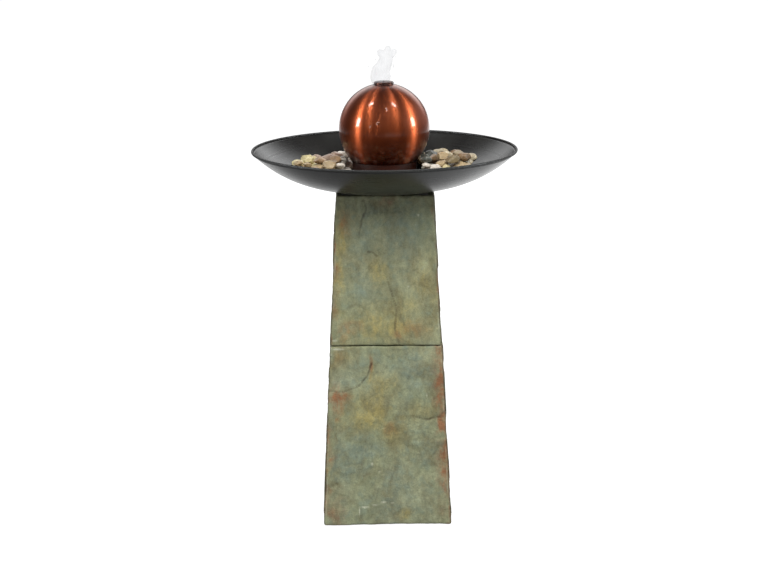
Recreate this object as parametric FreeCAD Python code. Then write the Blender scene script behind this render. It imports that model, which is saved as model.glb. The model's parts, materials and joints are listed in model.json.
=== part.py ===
"""Garden fountain: a copper ball in a wide metal bowl of river stones, on a tapered slate pedestal.

Millimetres, +Z up. The origin is on the floor at the middle of the pedestal, and the front faces -Y.
Each piece is written to parts/ as a STEP file of its own name.
"""
import FreeCAD, Part
import math
import os
import random

Vec = FreeCAD.Vector
UP = Vec(0, 0, 1)
ALONG_X = Vec(1, 0, 0)

# Pedestal: square, tapered alike on its four sides
BASE_HALF = 123.0  # half width of the slate at the floor line
TAPER = 0.0454  # half width lost for each unit of height
SLATE_T = 12.0
BOARD_T = 8.0
UPPER_SETBACK = 1.3  # the upper slabs are that much thinner
SKIN_BOTTOM_Z = 3.0  # slate and boards end that far above the floor
SEAM_Z = 353.5
SEAM_GAP = 2.0
DECK_Z = 640.0  # top of the pedestal
DECK_T = 12.0
BATTEN = 20.0

# Feet
FOOT_H = 8.0
FOOT_R = 10.0
FOOT_AT = 92.0
FOOT_SCREW_R = 2.0
FOOT_HEAD_R = 4.4
FOOT_RECESS_R = 5.0
FOOT_RECESS_Z = 4.0
FOOT_HEAD_T = 2.5
FOOT_SCREW_L = 20.0

# Screws that hold the deck down on the top battens
DECK_SCREW_AT = 64.0
DECK_SCREW_R = 2.0
DECK_SCREW_HEAD_R = 4.2
DECK_SCREW_HEAD_T = 2.6
DECK_SCREW_L = 28.0

# Rubber bush where the pump's lead leaves through the rear slab
BUSH_Z = 45.0
BUSH_R = 6.0
BUSH_BORE_R = 4.0
BUSH_FLANGE_R = 9.0
BUSH_FLANGE_T = 2.0

# Bowl: a flat base, and a wall that curves up from it as an arc to a rolled rim
GASKET_T = 3.0
GASKET_IN_R = 62.0
GASKET_OUT_R = 84.0
BOWL_BASE_R = 85.0
BOWL_BASE_Z = DECK_Z + GASKET_T
BOWL_ARC_R = 238.0
BOWL_WALL = 2.5
BOWL_RIM_R = 254.0
BEAD_R = 2.4
BOWL_HOLE_R = 10.3
BOWL_FLOOR_Z = BOWL_BASE_Z + BOWL_WALL
BOWL_ARC_Z = BOWL_BASE_Z + BOWL_ARC_R
BOWL_MID_R = BOWL_ARC_R - BOWL_WALL / 2
BEAD_ANGLE = math.asin((BOWL_RIM_R - BEAD_R - BOWL_BASE_R) / BOWL_MID_R)
BEAD_Z = BOWL_ARC_Z - BOWL_MID_R * math.cos(BEAD_ANGLE)

# Standpipe: clamps the bowl to the deck and ends above the water line
PIPE_R = 10.0
PIPE_BORE_R = 7.0
PIPE_FLANGE_R = 16.0
PIPE_FLANGE_T = 3.0
PIPE_TOP_Z = 706.0
PIPE_BOTTOM_Z = 608.0
SEAL_T = 2.0
WASHER_T = 2.0
WASHER_R = 20.0
NUT_T = 8.0
NUT_FLATS = 30.0
PLUG_L = 10.0
PLUG_HEAD_R = 9.0
PLUG_HEAD_T = 3.0
PLUG_BORE_R = 4.0
PLUG_SLOT = 2.0

# Ball, and the slotted ring that it stands on
BALL_R = 86.6
BALL_Z = 753.4
BALL_WALL = 1.5
RING_R = 61.0
RING_WALL = 4.0
RING_TOP_Z = 692.0
RING_LIP = 1.5
RING_LIP_H = 5.0
RING_SLOTS = 8
RING_SLOT_W = 12.0
RING_SLOT_H = 18.0
REST_GAP = 0.3

# Nozzle in the top of the ball
NOZZLE_COLLAR_R = 19.0
NOZZLE_COLLAR_T = 3.2
NOZZLE_STEM_R = 6.5
NOZZLE_BORE_R = 3.0
NOZZLE_STEM_L = 12.0
NOZZLE_BARB_L = 16.0
NOZZLE_HOLE_R = 6.7
NOZZLE_SEAL_R = 11.0
NOZZLE_SEAL_T = 2.0
NOZZLE_NUT_T = 6.0
NOZZLE_NUT_FLATS = 18.0

# Outlet tube, from the pump's spigot up to the nozzle
TUBE_R = 6.0
TUBE_BORE_R = 4.05
TUBE_BEND_R = 40.0
TUBE_BEND_DEG = 35.0
TUBE_BOTTOM_Z = 690.0
TUBE_BEND_Z = 738.0
TUBE_END_GAP = 1.0

# Pump: its rotor lies along X
PUMP_Y = 28.0
PUMP_BOTTOM_Z = 654.0
PUMP_W = 32.0
PUMP_H = 34.0
PUMP_Z = PUMP_BOTTOM_Z + PUMP_H / 2
PUMP_BACK_X = -24.0
PUMP_SPLIT_X = 2.0
PUMP_FACE_X = 13.0
PUMP_EDGE_R = 4.0
WELL_R = 9.0
WELL_END_X = -18.0
CHAMBER_R = 10.5
CHAMBER_X = 9.0
INLET_R = 5.5
INLET_HUB_R = 3.6
SPOKES = 3
SPOKE_T = 1.6
SPOKE_ROOT = 0.5  # how far a spoke reaches into the wall round the inlet
SHAFT_R = 1.25
SHAFT_X = (-20.5, 11.5)
BUSH_PIN_R = 2.4
REAR_BUSH_X = (-21.0, -18.0)
FRONT_BUSH_X = (9.0, 12.0)
RUNNING_GAP = 0.05
MAGNET_R = 7.8
MAGNET_X = (-16.5, -0.5)
HUB_R = 3.5
HUB_X = (-0.5, 8.4)
DISC_R = 9.3
DISC_X = (2.6, 3.6)
BLADES = 6
BLADE_T = 1.2
BLADE_X = (3.6, 8.0)
BLADE_ROOT = 0.2  # how far a blade reaches into the hub
SPIGOT_X = 6.5
SPIGOT_R = 4.0
SPIGOT_BORE_R = 2.5
SPIGOT_TOP_Z = 702.0
GLAND_R = 4.0
GLAND_END_R = 3.0
GLAND_L = 6.0
GLAND_PIN_R = 3.0
GLAND_PIN_L = 2.5
GLAND_BORE_R = 1.8
GLAND_Z = 681.0

# Intake cover with its flow dial
COVER_GAP = 0.1
COVER_INSET = 1.0
COVER_X = 23.0
COVER_WALL = 1.5
COVER_SLOTS = 3
COVER_SLOT_W = 1.4
COVER_SLOT_AT = 8.4
COVER_SLOT_PITCH = 2.1
COVER_SLOT_H = 22.0
DIAL_R = 7.0
DIAL_T = 2.0
DIAL_PIN_R = 1.5
DIAL_HEAD_R = 2.4
DIAL_HEAD_T = 1.2
DIAL_RIDGE_W = 2.4
DIAL_RIDGE_H = 3.0
DIAL_RIDGE_L = 12.0
DIAL_HOLE_R = 1.5
DIAL_HOLE_AT = 4.2

# Suction cups under the pump
CUP_R = 5.5
CUP_NECK_R = 2.6
CUP_PIN_R = 1.8
CUP_PIN_L = 3.0
CUP_SHOULDER_H = 4.5
CUP_EDGE_H = 0.6
CUP_HOLLOW_H = 2.4
CUP_LIP_W = 1.0
CUP_PLACES = [(x, y) for x in (-18.0, 7.0) for y in (22.0, 38.0)]

# River stones, as rounded flat lumps that lie in the bowl round the ball
STONE_SEED = 45
STONE_FLATNESS = 0.62
STONE_GAP = 0.4
STONE_EDGE_R = 180.0  # the bed of stones ends at that distance from the axis
STONE_TRIES = 240
STONE_SLOPE = 0.05  # how steeply the bed rises towards the ball
STONE_SADDLE = 26.0  # how much lower it lies in front of and behind the ball than beside it
STONE_LEAN = 3.0  # how much lower it lies on the left than on the right, counted from the middle
STONE_DIP_HALF = 66.0  # right in front of the ball, the stones leave its foot in sight over this half width
STONE_DIP_Z = 684.0  # and rise no higher than this
LARGE_STONES = 46
LARGE_STONE_R = (17.0, 20.5)
SMALL_STONES = 170
SMALL_STONE_R = (8.0, 14.5)
STONE_WIDTH = (0.74, 0.97)
STONE_STEPS = [k / 4 for k in range(-4, 5)]  # places across a stone at which it is tested, from -1 to 1

# Water that stands above the nozzle
JET_TOP_Z = 910.0
JET_BASE_R = 20.0
JET_WAIST_R = 14.5
JET_WAIST_H = 22.0
JET_HEAD_R = 14.0


def half_line(z):
    """Half width of the pedestal over its lower slabs, at height z."""
    return BASE_HALF - TAPER * z


def ring_x(radius, x_range, hole=0.0):
    """A disc or a sleeve on the pump's axis, between two values of X."""
    at = Vec(x_range[0], PUMP_Y, PUMP_Z)
    length = x_range[1] - x_range[0]
    disc = Part.makeCylinder(radius, length, at, ALONG_X)
    if hole:
        disc = disc.cut(Part.makeCylinder(hole, length, at, ALONG_X))
    return disc


def ring_z(radius, z_range, hole=0.0, x=0.0, y=0.0):
    """A disc or a sleeve that stands upright, between two heights."""
    at = Vec(x, y, z_range[0])
    height = z_range[1] - z_range[0]
    disc = Part.makeCylinder(radius, height, at)
    if hole:
        disc = disc.cut(Part.makeCylinder(hole, height, at))
    return disc


def turned(points):
    """A solid turned about the Z axis from a closed outline of (radius, height) points."""
    outline = Part.makePolygon([Vec(r, 0, z) for r, z in points + points[:1]])
    return Part.Face(outline).revolve(Vec(0, 0, 0), UP, 360)


def hexagon(flats, z_range, hole):
    """A nut: a hexagonal block with a round hole."""
    corner = flats / math.sqrt(3)
    points = []
    for k in range(7):
        turn = math.radians(60 * k)
        points.append(Vec(corner * math.cos(turn), corner * math.sin(turn), z_range[0]))
    block = Part.Face(Part.makePolygon(points)).extrude(UP * (z_range[1] - z_range[0]))
    return block.cut(ring_z(hole, z_range))


def tapered_block(z_low, z_high, limits):
    """A block whose sides lean: limits(z) gives its x_min, x_max, y_min and y_max at a height."""
    rings = []
    for z in (z_low, z_high):
        x0, x1, y0, y1 = limits(z)
        rings.append([Vec(x0, y0, z), Vec(x1, y0, z), Vec(x1, y1, z), Vec(x0, y1, z)])
    low, high = rings
    sides = [low, high]
    for k in range(4):
        n = (k + 1) % 4
        sides.append([low[k], low[n], high[n], high[k]])
    faces = [Part.Face(Part.makePolygon(side + side[:1])) for side in sides]
    block = Part.makeSolid(Part.makeShell(faces))
    if block.Volume < 0:
        block.reverse()
    return block


def wall_panels(z_low, z_high, outer, inner):
    """Four panels between two tapered squares; the front and rear ones cover the edges of the others."""
    def front(z):
        return -outer(z), outer(z), -outer(z), -inner(z)

    def rear(z):
        return -outer(z), outer(z), inner(z), outer(z)

    def left(z):
        return -outer(z), -inner(z), -inner(z), inner(z)

    def right(z):
        return inner(z), outer(z), -inner(z), inner(z)

    names = ("front", "rear", "left", "right")
    return {name: tapered_block(z_low, z_high, f) for name, f in zip(names, (front, rear, left, right))}


def slate_inner(z):
    return half_line(z) - SLATE_T


def board_inner(z):
    return slate_inner(z) - BOARD_T


def batten_inner(z):
    return board_inner(z) - BATTEN


def make_slates():
    """Eight split slabs, two on each side of the pedestal."""
    lower = wall_panels(SKIN_BOTTOM_Z, SEAM_Z - SEAM_GAP / 2, half_line, slate_inner)
    upper = wall_panels(SEAM_Z + SEAM_GAP / 2, DECK_Z, lambda z: half_line(z) - UPPER_SETBACK, slate_inner)
    nodes = {"slate_%s_lower" % side: solid for side, solid in lower.items()}
    nodes.update({"slate_%s_upper" % side: solid for side, solid in upper.items()})
    return nodes


def make_boards():
    """The hollow core that carries the slate."""
    panels = wall_panels(SKIN_BOTTOM_Z, DECK_Z - DECK_T, slate_inner, board_inner)
    return {"core_board_%s" % side: solid for side, solid in panels.items()}


def make_battens(z_low, z_high):
    """Four battens in a square, inside the core boards."""
    return Part.makeCompound(list(wall_panels(z_low, z_high, board_inner, batten_inner).values()))


def make_deck():
    """The plate that closes the top of the pedestal and carries the bowl."""
    def limits(z):
        return -slate_inner(z), slate_inner(z), -slate_inner(z), slate_inner(z)

    plate = tapered_block(DECK_Z - DECK_T, DECK_Z, limits)
    return plate.cut(ring_z(BOWL_HOLE_R, (DECK_Z - DECK_T, DECK_Z)))


def corner_places(offset):
    return [(x, y) for x in (-offset, offset) for y in (-offset, offset)]


def make_deck_screws():
    """Countersunk screws, flush with the deck."""
    neck_z = DECK_Z - DECK_SCREW_HEAD_T
    screws = []
    for x, y in corner_places(DECK_SCREW_AT):
        head = Part.makeCone(DECK_SCREW_R, DECK_SCREW_HEAD_R, DECK_SCREW_HEAD_T, Vec(x, y, neck_z))
        shank = ring_z(DECK_SCREW_R, (DECK_Z - DECK_SCREW_L, neck_z), x=x, y=y)
        screws.append(head.fuse(shank))
    return Part.makeCompound(screws)


def make_feet():
    feet = []
    for x, y in corner_places(FOOT_AT):
        foot = ring_z(FOOT_R, (0, FOOT_H), FOOT_SCREW_R, x, y)
        feet.append(foot.cut(ring_z(FOOT_RECESS_R, (0, FOOT_RECESS_Z), x=x, y=y)))
    return Part.makeCompound(feet)


def make_foot_screws():
    """Pan head screws in the feet's recesses, up into the base battens."""
    screws = []
    for x, y in corner_places(FOOT_AT):
        head = ring_z(FOOT_HEAD_R, (FOOT_RECESS_Z - FOOT_HEAD_T, FOOT_RECESS_Z), x=x, y=y)
        shank = ring_z(FOOT_SCREW_R, (FOOT_RECESS_Z, FOOT_RECESS_Z + FOOT_SCREW_L), x=x, y=y)
        screws.append(head.fuse(shank))
    return Part.makeCompound(screws)


def make_lead_bush():
    """A flanged bush square to the leaning rear face, and the plug of space that it fills in the wall."""
    lean = math.atan(TAPER)
    outward = Vec(0, math.cos(lean), math.sin(lean))
    depth = (SLATE_T + BOARD_T) * math.cos(lean)
    mouth = Vec(0, half_line(BUSH_Z), BUSH_Z)
    inside = mouth - outward * depth
    body = Part.makeCylinder(BUSH_R, depth, inside, outward)
    flanges = [
        Part.makeCylinder(BUSH_FLANGE_R, BUSH_FLANGE_T, mouth, outward),
        Part.makeCylinder(BUSH_FLANGE_R, BUSH_FLANGE_T, inside - outward * BUSH_FLANGE_T, outward),
    ]
    length = depth + 2 * BUSH_FLANGE_T
    bore = Part.makeCylinder(BUSH_BORE_R, length, inside - outward * BUSH_FLANGE_T, outward)
    return body.fuse(flanges).cut(bore), body


def make_bowl():
    """A spun dish: flat base, curved wall, rolled rim, and a hole for the standpipe."""
    inner_r = BOWL_ARC_R - BOWL_WALL

    def on_arc(radius, turn):
        return Vec(BOWL_BASE_R + radius * math.sin(turn), 0, BOWL_ARC_Z - radius * math.cos(turn))

    def arc(radius):
        start, middle, end = (on_arc(radius, turn) for turn in (0, BEAD_ANGLE / 2, BEAD_ANGLE))
        return Part.Arc(start, middle, end).toShape()

    edges = [
        Part.makeLine(Vec(BOWL_HOLE_R, 0, BOWL_BASE_Z), Vec(BOWL_BASE_R, 0, BOWL_BASE_Z)),
        arc(BOWL_ARC_R),
        Part.makeLine(on_arc(BOWL_ARC_R, BEAD_ANGLE), on_arc(inner_r, BEAD_ANGLE)),
        arc(inner_r),
        Part.makeLine(Vec(BOWL_BASE_R, 0, BOWL_FLOOR_Z), Vec(BOWL_HOLE_R, 0, BOWL_FLOOR_Z)),
        Part.makeLine(Vec(BOWL_HOLE_R, 0, BOWL_FLOOR_Z), Vec(BOWL_HOLE_R, 0, BOWL_BASE_Z)),
    ]
    dish = Part.Face(Part.Wire(Part.__sortEdges__(edges))).revolve(Vec(0, 0, 0), UP, 360)
    bead = Part.makeTorus(BOWL_RIM_R - BEAD_R, BEAD_R, Vec(0, 0, BEAD_Z))
    return dish.fuse(bead)


def make_standpipe_parts():
    """The hollow standpipe, its rubber seal, and the steel washer and nut under the deck."""
    flange_z = BOWL_FLOOR_Z + SEAL_T
    washer_z = DECK_Z - DECK_T - WASHER_T
    pipe = ring_z(PIPE_R, (PIPE_BOTTOM_Z, PIPE_TOP_Z), PIPE_BORE_R)
    flange = ring_z(PIPE_FLANGE_R, (flange_z, flange_z + PIPE_FLANGE_T), PIPE_R)
    plug = ring_z(PIPE_BORE_R, (PIPE_TOP_Z - PLUG_L, PIPE_TOP_Z), PLUG_BORE_R)
    head = ring_z(PLUG_HEAD_R, (PIPE_TOP_Z, PIPE_TOP_Z + PLUG_HEAD_T), PLUG_BORE_R)
    slot = Part.makeBox(PLUG_HEAD_R, PLUG_SLOT, PLUG_L + PLUG_HEAD_T)
    slot.translate(Vec(0, -PLUG_SLOT / 2, PIPE_TOP_Z - PLUG_L))
    return {
        "standpipe": pipe.fuse(flange),
        "standpipe_seal": ring_z(PIPE_FLANGE_R, (BOWL_FLOOR_Z, flange_z), PIPE_R),
        "standpipe_washer": ring_z(WASHER_R, (washer_z, washer_z + WASHER_T), PIPE_R),
        "standpipe_nut": hexagon(NUT_FLATS, (washer_z - NUT_T, washer_z), PIPE_R),
        "lead_plug": plug.fuse(head).cut(slot),
    }


def make_ball_stand():
    """A ring with arches for the water, and a lip that keeps the ball in the middle."""
    inner = RING_R - RING_WALL
    ring = ring_z(RING_R, (BOWL_FLOOR_Z, RING_TOP_Z), inner)
    lip = ring_z(inner, (RING_TOP_Z - RING_LIP_H, RING_TOP_Z + RING_LIP_H), inner - RING_LIP)
    for k in range(RING_SLOTS):
        arch = Part.makeBox(RING_R, RING_SLOT_W, RING_SLOT_H)
        arch.translate(Vec(inner - 2 * RING_LIP, -RING_SLOT_W / 2, BOWL_FLOOR_Z))
        arch.rotate(Vec(0, 0, 0), UP, (k + 0.5) * 360 / RING_SLOTS)
        ring = ring.cut(arch)
    return ring.fuse(lip)


def make_ball_shell():
    """The hollow ball, open underneath where it stands on its ring, with the nozzle's hole in its top."""
    centre = Vec(0, 0, BALL_Z)
    shell = Part.makeSphere(BALL_R, centre).cut(Part.makeSphere(BALL_R - BALL_WALL, centre))
    below = ring_z(BALL_R, (BALL_Z - BALL_R, RING_TOP_Z + REST_GAP))
    return shell.cut(below).cut(ring_z(NOZZLE_HOLE_R, (BALL_Z, BALL_Z + BALL_R)))


def make_nozzle_parts():
    """The hose nozzle that is clamped in the ball's top by a seal and a nut; its collar follows the ball."""
    top = BALL_Z + BALL_R
    stem_end = top - NOZZLE_STEM_L
    shell_in = BALL_R - BALL_WALL
    seal_top = BALL_Z + math.sqrt(shell_in ** 2 - NOZZLE_SEAL_R ** 2)
    seal_z = (seal_top - NOZZLE_SEAL_T, seal_top)
    nut_z = (seal_z[0] - NOZZLE_NUT_T, seal_z[0])
    outline = [
        (NOZZLE_BORE_R, stem_end - NOZZLE_BARB_L),
        (TUBE_BORE_R, stem_end - NOZZLE_BARB_L),
        (TUBE_BORE_R, stem_end),
        (NOZZLE_STEM_R, stem_end),
        (NOZZLE_STEM_R, top),
        (NOZZLE_BORE_R, top),
    ]
    collar = turned([
        (NOZZLE_BORE_R, top - NOZZLE_COLLAR_T),
        (NOZZLE_COLLAR_R, top - NOZZLE_COLLAR_T),
        (NOZZLE_COLLAR_R, top + NOZZLE_COLLAR_T / 2),
        (NOZZLE_COLLAR_R - NOZZLE_COLLAR_T / 2, top + NOZZLE_COLLAR_T),
        (NOZZLE_BORE_R, top + NOZZLE_COLLAR_T),
    ])
    collar = collar.cut(Part.makeSphere(BALL_R, Vec(0, 0, BALL_Z)))
    return {
        "outlet_nozzle": turned(outline).fuse(collar),
        "nozzle_seal": ring_z(NOZZLE_SEAL_R, seal_z, NOZZLE_STEM_R),
        "nozzle_nut": hexagon(NOZZLE_NUT_FLATS, nut_z, NOZZLE_STEM_R),
    }


def tube_route():
    """The tube's centre line: up from the pump's spigot, over to the ball's axis, and up to the nozzle."""
    start = Vec(SPIGOT_X, PUMP_Y, TUBE_BOTTOM_Z)
    offset = math.hypot(SPIGOT_X, PUMP_Y)
    towards_axis = Vec(-SPIGOT_X / offset, -PUMP_Y / offset, 0)
    bend = math.radians(TUBE_BEND_DEG)
    straight = (offset - 2 * TUBE_BEND_R * (1 - math.cos(bend))) / math.sin(bend)
    end_z = BALL_Z + BALL_R - NOZZLE_STEM_L - TUBE_END_GAP

    def first_bend(turn):
        side = towards_axis * (TUBE_BEND_R * (1 - math.cos(turn)))
        return Vec(SPIGOT_X, PUMP_Y, TUBE_BEND_Z) + side + UP * (TUBE_BEND_R * math.sin(turn))

    slope = towards_axis * math.sin(bend) + UP * math.cos(bend)
    second = first_bend(bend) + slope * straight
    over_z = second.z + TUBE_BEND_R * math.sin(bend)

    def second_bend(turn):
        side = towards_axis * (TUBE_BEND_R * (1 - math.cos(turn)))
        return Vec(0, 0, over_z) - side - UP * (TUBE_BEND_R * math.sin(turn))

    return [
        Part.makeLine(start, first_bend(0)),
        Part.Arc(first_bend(0), first_bend(bend / 2), first_bend(bend)).toShape(),
        Part.makeLine(first_bend(bend), second_bend(bend)),
        Part.Arc(second_bend(bend), second_bend(bend / 2), second_bend(0)).toShape(),
        Part.makeLine(second_bend(0), Vec(0, 0, end_z)),
    ]


def make_tube():
    """The clear hose that is pushed on the nozzle and slips over the pump's spigot."""
    route = Part.Wire(tube_route())

    def swept(radius):
        section = Part.Wire(Part.makeCircle(radius, Vec(SPIGOT_X, PUMP_Y, TUBE_BOTTOM_Z), UP))
        return route.makePipeShell([section], True, False)

    return swept(TUBE_R).cut(swept(TUBE_BORE_R))


def pump_block(x_range, inset=0.0):
    """A block across the pump with rounded long edges."""
    length = x_range[1] - x_range[0]
    block = Part.makeBox(length, PUMP_W - 2 * inset, PUMP_H - 2 * inset)
    block.translate(Vec(x_range[0], PUMP_Y - PUMP_W / 2 + inset, PUMP_BOTTOM_Z + inset))
    along = [e for e in block.Edges if abs(e.tangentAt(e.FirstParameter).x) > 0.9]
    return block.makeFillet(PUMP_EDGE_R - inset / 2, along)


def make_pump_housing():
    """The potted motor, with the rotor's well, a pocket for the rear bush, and one for the lead's gland."""
    housing = pump_block((PUMP_BACK_X, PUMP_SPLIT_X))
    housing = housing.cut(ring_x(WELL_R, (WELL_END_X, PUMP_SPLIT_X)))
    housing = housing.cut(ring_x(BUSH_PIN_R, REAR_BUSH_X))
    pocket = Part.makeCylinder(GLAND_PIN_R, GLAND_PIN_L, Vec(PUMP_BACK_X, PUMP_Y, GLAND_Z), ALONG_X)
    return housing.cut(pocket)


def make_gland():
    """The gland that the pump's lead comes out of."""
    at = Vec(PUMP_BACK_X - GLAND_L, PUMP_Y, GLAND_Z)
    pin_at = Vec(PUMP_BACK_X, PUMP_Y, GLAND_Z)
    sleeve = Part.makeCone(GLAND_END_R, GLAND_R, GLAND_L, at, ALONG_X)
    sleeve = sleeve.fuse(Part.makeCylinder(GLAND_PIN_R, GLAND_PIN_L, pin_at, ALONG_X))
    return sleeve.cut(Part.makeCylinder(GLAND_BORE_R, GLAND_L, at, ALONG_X))


def make_volute_cover():
    """The impeller's chamber, its inlet with a spider for the front bush, and the outlet spigot."""
    cover = pump_block((PUMP_SPLIT_X, PUMP_FACE_X))
    spigot = ring_z(SPIGOT_R, (PUMP_Z + CHAMBER_R, SPIGOT_TOP_Z), x=SPIGOT_X, y=PUMP_Y)
    cover = cover.fuse(spigot)
    cover = cover.cut(ring_x(CHAMBER_R, (PUMP_SPLIT_X, CHAMBER_X)))
    cover = cover.cut(ring_x(INLET_R, (CHAMBER_X, PUMP_FACE_X)))
    cover = cover.cut(ring_z(SPIGOT_BORE_R, (PUMP_Z, SPIGOT_TOP_Z), x=SPIGOT_X, y=PUMP_Y))
    spider = ring_x(INLET_HUB_R, (CHAMBER_X, PUMP_FACE_X))
    for k in range(SPOKES):
        spoke = Part.makeBox(PUMP_FACE_X - CHAMBER_X, SPOKE_T, INLET_R + SPOKE_ROOT)
        spoke.translate(Vec(CHAMBER_X, PUMP_Y - SPOKE_T / 2, PUMP_Z))
        spoke.rotate(Vec(0, PUMP_Y, PUMP_Z), ALONG_X, k * 360 / SPOKES)
        spider = spider.fuse(spoke)
    return cover.fuse(spider).cut(ring_x(BUSH_PIN_R, FRONT_BUSH_X))


def make_rotor_parts():
    """The fixed shaft in its two rubber bushes, and the magnet and impeller that turn on it."""
    hole = SHAFT_R + RUNNING_GAP
    bushes = []
    for x_range in (REAR_BUSH_X, FRONT_BUSH_X):
        bushes.append(ring_x(BUSH_PIN_R, x_range).cut(ring_x(SHAFT_R, SHAFT_X)))
    impeller = ring_x(HUB_R, HUB_X).fuse(ring_x(DISC_R, DISC_X))
    for k in range(BLADES):
        blade = Part.makeBox(BLADE_X[1] - BLADE_X[0], BLADE_T, DISC_R - HUB_R)
        blade.translate(Vec(BLADE_X[0], PUMP_Y - BLADE_T / 2, PUMP_Z + HUB_R - BLADE_ROOT))
        blade.rotate(Vec(0, PUMP_Y, PUMP_Z), ALONG_X, k * 360 / BLADES)
        impeller = impeller.fuse(blade)
    return {
        "rotor_shaft": ring_x(SHAFT_R, SHAFT_X),
        "shaft_bushes": Part.makeCompound(bushes),
        "rotor_magnet": ring_x(MAGNET_R, MAGNET_X, hole),
        "impeller": impeller.cut(ring_x(hole, HUB_X)),
    }


def dial_hole(side, x_range):
    """One of the two water holes, which the dial opens and shuts."""
    at = Vec(x_range[0], PUMP_Y, PUMP_Z + side * DIAL_HOLE_AT)
    return Part.makeCylinder(DIAL_HOLE_R, x_range[1] - x_range[0], at, ALONG_X)


def make_intake_cover():
    """The slotted cap over the pump's inlet, which pulls off for cleaning."""
    face_x = COVER_X - COVER_WALL
    cap = pump_block((PUMP_FACE_X + COVER_GAP, COVER_X), COVER_INSET)
    cap = cap.cut(pump_block((PUMP_FACE_X + COVER_GAP, face_x), COVER_INSET + COVER_WALL))
    for side in (-1, 1):
        cap = cap.cut(dial_hole(side, (face_x, COVER_X)))
        for k in range(COVER_SLOTS):
            y = PUMP_Y + side * (COVER_SLOT_AT + k * COVER_SLOT_PITCH)
            slot = Part.makeBox(COVER_WALL, COVER_SLOT_W, COVER_SLOT_H)
            slot.translate(Vec(face_x, y - COVER_SLOT_W / 2, PUMP_Z - COVER_SLOT_H / 2))
            cap = cap.cut(slot)
    return cap.cut(ring_x(DIAL_PIN_R + RUNNING_GAP, (face_x, COVER_X)))


def make_flow_dial():
    """The dial on the intake cover: a quarter turn shuts the two water holes."""
    back_x = COVER_X + COVER_GAP
    inner_x = COVER_X - COVER_WALL - COVER_GAP
    dial = ring_x(DIAL_R, (back_x, back_x + DIAL_T))
    dial = dial.fuse(ring_x(DIAL_PIN_R, (inner_x, back_x)))
    dial = dial.fuse(ring_x(DIAL_HEAD_R, (inner_x - DIAL_HEAD_T, inner_x)))
    ridge = Part.makeBox(DIAL_RIDGE_H, DIAL_RIDGE_L, DIAL_RIDGE_W)
    ridge.translate(Vec(back_x + DIAL_T, PUMP_Y - DIAL_RIDGE_L / 2, PUMP_Z - DIAL_RIDGE_W / 2))
    dial = dial.fuse(ridge)
    for side in (-1, 1):
        dial = dial.cut(dial_hole(side, (back_x, back_x + DIAL_T)))
    return dial


def make_suction_cups():
    """Soft cups that hold the pump down on the bowl's floor."""
    cups = []
    for x, y in CUP_PLACES:
        outline = [
            (0, PUMP_BOTTOM_Z + CUP_PIN_L),
            (CUP_PIN_R, PUMP_BOTTOM_Z + CUP_PIN_L),
            (CUP_PIN_R, PUMP_BOTTOM_Z),
            (CUP_NECK_R, PUMP_BOTTOM_Z),
            (CUP_NECK_R, BOWL_FLOOR_Z + CUP_SHOULDER_H),
            (CUP_R, BOWL_FLOOR_Z + CUP_EDGE_H),
            (CUP_R, BOWL_FLOOR_Z),
            (CUP_R - CUP_LIP_W, BOWL_FLOOR_Z),
            (0, BOWL_FLOOR_Z + CUP_HOLLOW_H),
        ]
        cup = turned(outline)
        cup.translate(Vec(x, y, 0))
        cups.append(cup)
    return Part.makeCompound(cups)


def bowl_inside(radius):
    """Height of the bowl's inner surface at a distance from the axis."""
    beyond = max(0.0, radius - BOWL_BASE_R)
    return BOWL_ARC_Z - math.sqrt((BOWL_ARC_R - BOWL_WALL) ** 2 - beyond ** 2)


def resting_height(x, y, size, placed):
    """Height at which a stone let down at x, y comes to lie on the bowl or on the stones under it."""
    away = math.hypot(x, y)
    height = 0.0
    for t in STONE_STEPS:
        bulge = STONE_FLATNESS * size * math.sqrt(1 - t * t)
        height = max(height, bowl_inside(away + size * t) + bulge)
    height += STONE_GAP
    for other_x, other_y, other_z, other_size in placed:
        reach = size + other_size + STONE_GAP
        overlap = reach ** 2 - (x - other_x) ** 2 - (y - other_y) ** 2
        if overlap > 0:
            height = max(height, other_z + STONE_FLATNESS * math.sqrt(overlap))
    return height


def clear_of_ball(away, z, size):
    """True if a stone at that distance and height touches neither the ball nor its ring."""
    for t in STONE_STEPS:
        level = z + t * STONE_FLATNESS * size
        near = away - size * math.sqrt(1 - t * t)
        drop = min(abs(level - BALL_Z), BALL_R)
        ball = math.sqrt(BALL_R ** 2 - drop ** 2) if level > RING_TOP_Z else RING_R
        if near < ball + 2 * STONE_GAP:
            return False
    return True


def blocks_foot(x, y, z, size):
    """True if a stone in front of the ball would hide its foot."""
    return y < 0 and abs(x) - size < STONE_DIP_HALF and z + STONE_FLATNESS * size > STONE_DIP_Z


def stone_places():
    """Lays each stone in the lowest of many random places, so that the bed packs as poured stones do."""
    draw = random.Random(STONE_SEED)
    sizes = [draw.uniform(*LARGE_STONE_R) for _ in range(LARGE_STONES)]
    sizes += [draw.uniform(*SMALL_STONE_R) for _ in range(SMALL_STONES)]
    placed = []
    for size in sizes:
        best = None
        for _ in range(STONE_TRIES):
            away = math.sqrt(draw.uniform((RING_R + size) ** 2, (STONE_EDGE_R - size) ** 2))
            turn = draw.uniform(0, 2 * math.pi)
            x = away * math.cos(turn)
            y = away * math.sin(turn)
            z = resting_height(x, y, size, placed)
            cost = z + STONE_FLATNESS * size + STONE_SLOPE * away
            cost += STONE_SADDLE * math.sin(turn) ** 2 - STONE_LEAN * math.cos(turn)
            if best is not None and cost >= best[0] or blocks_foot(x, y, z, size):
                continue
            if clear_of_ball(away, z, size):
                best = (cost, x, y, z)
        if best is not None:
            placed.append((best[1], best[2], best[3], size))
    return placed


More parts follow.
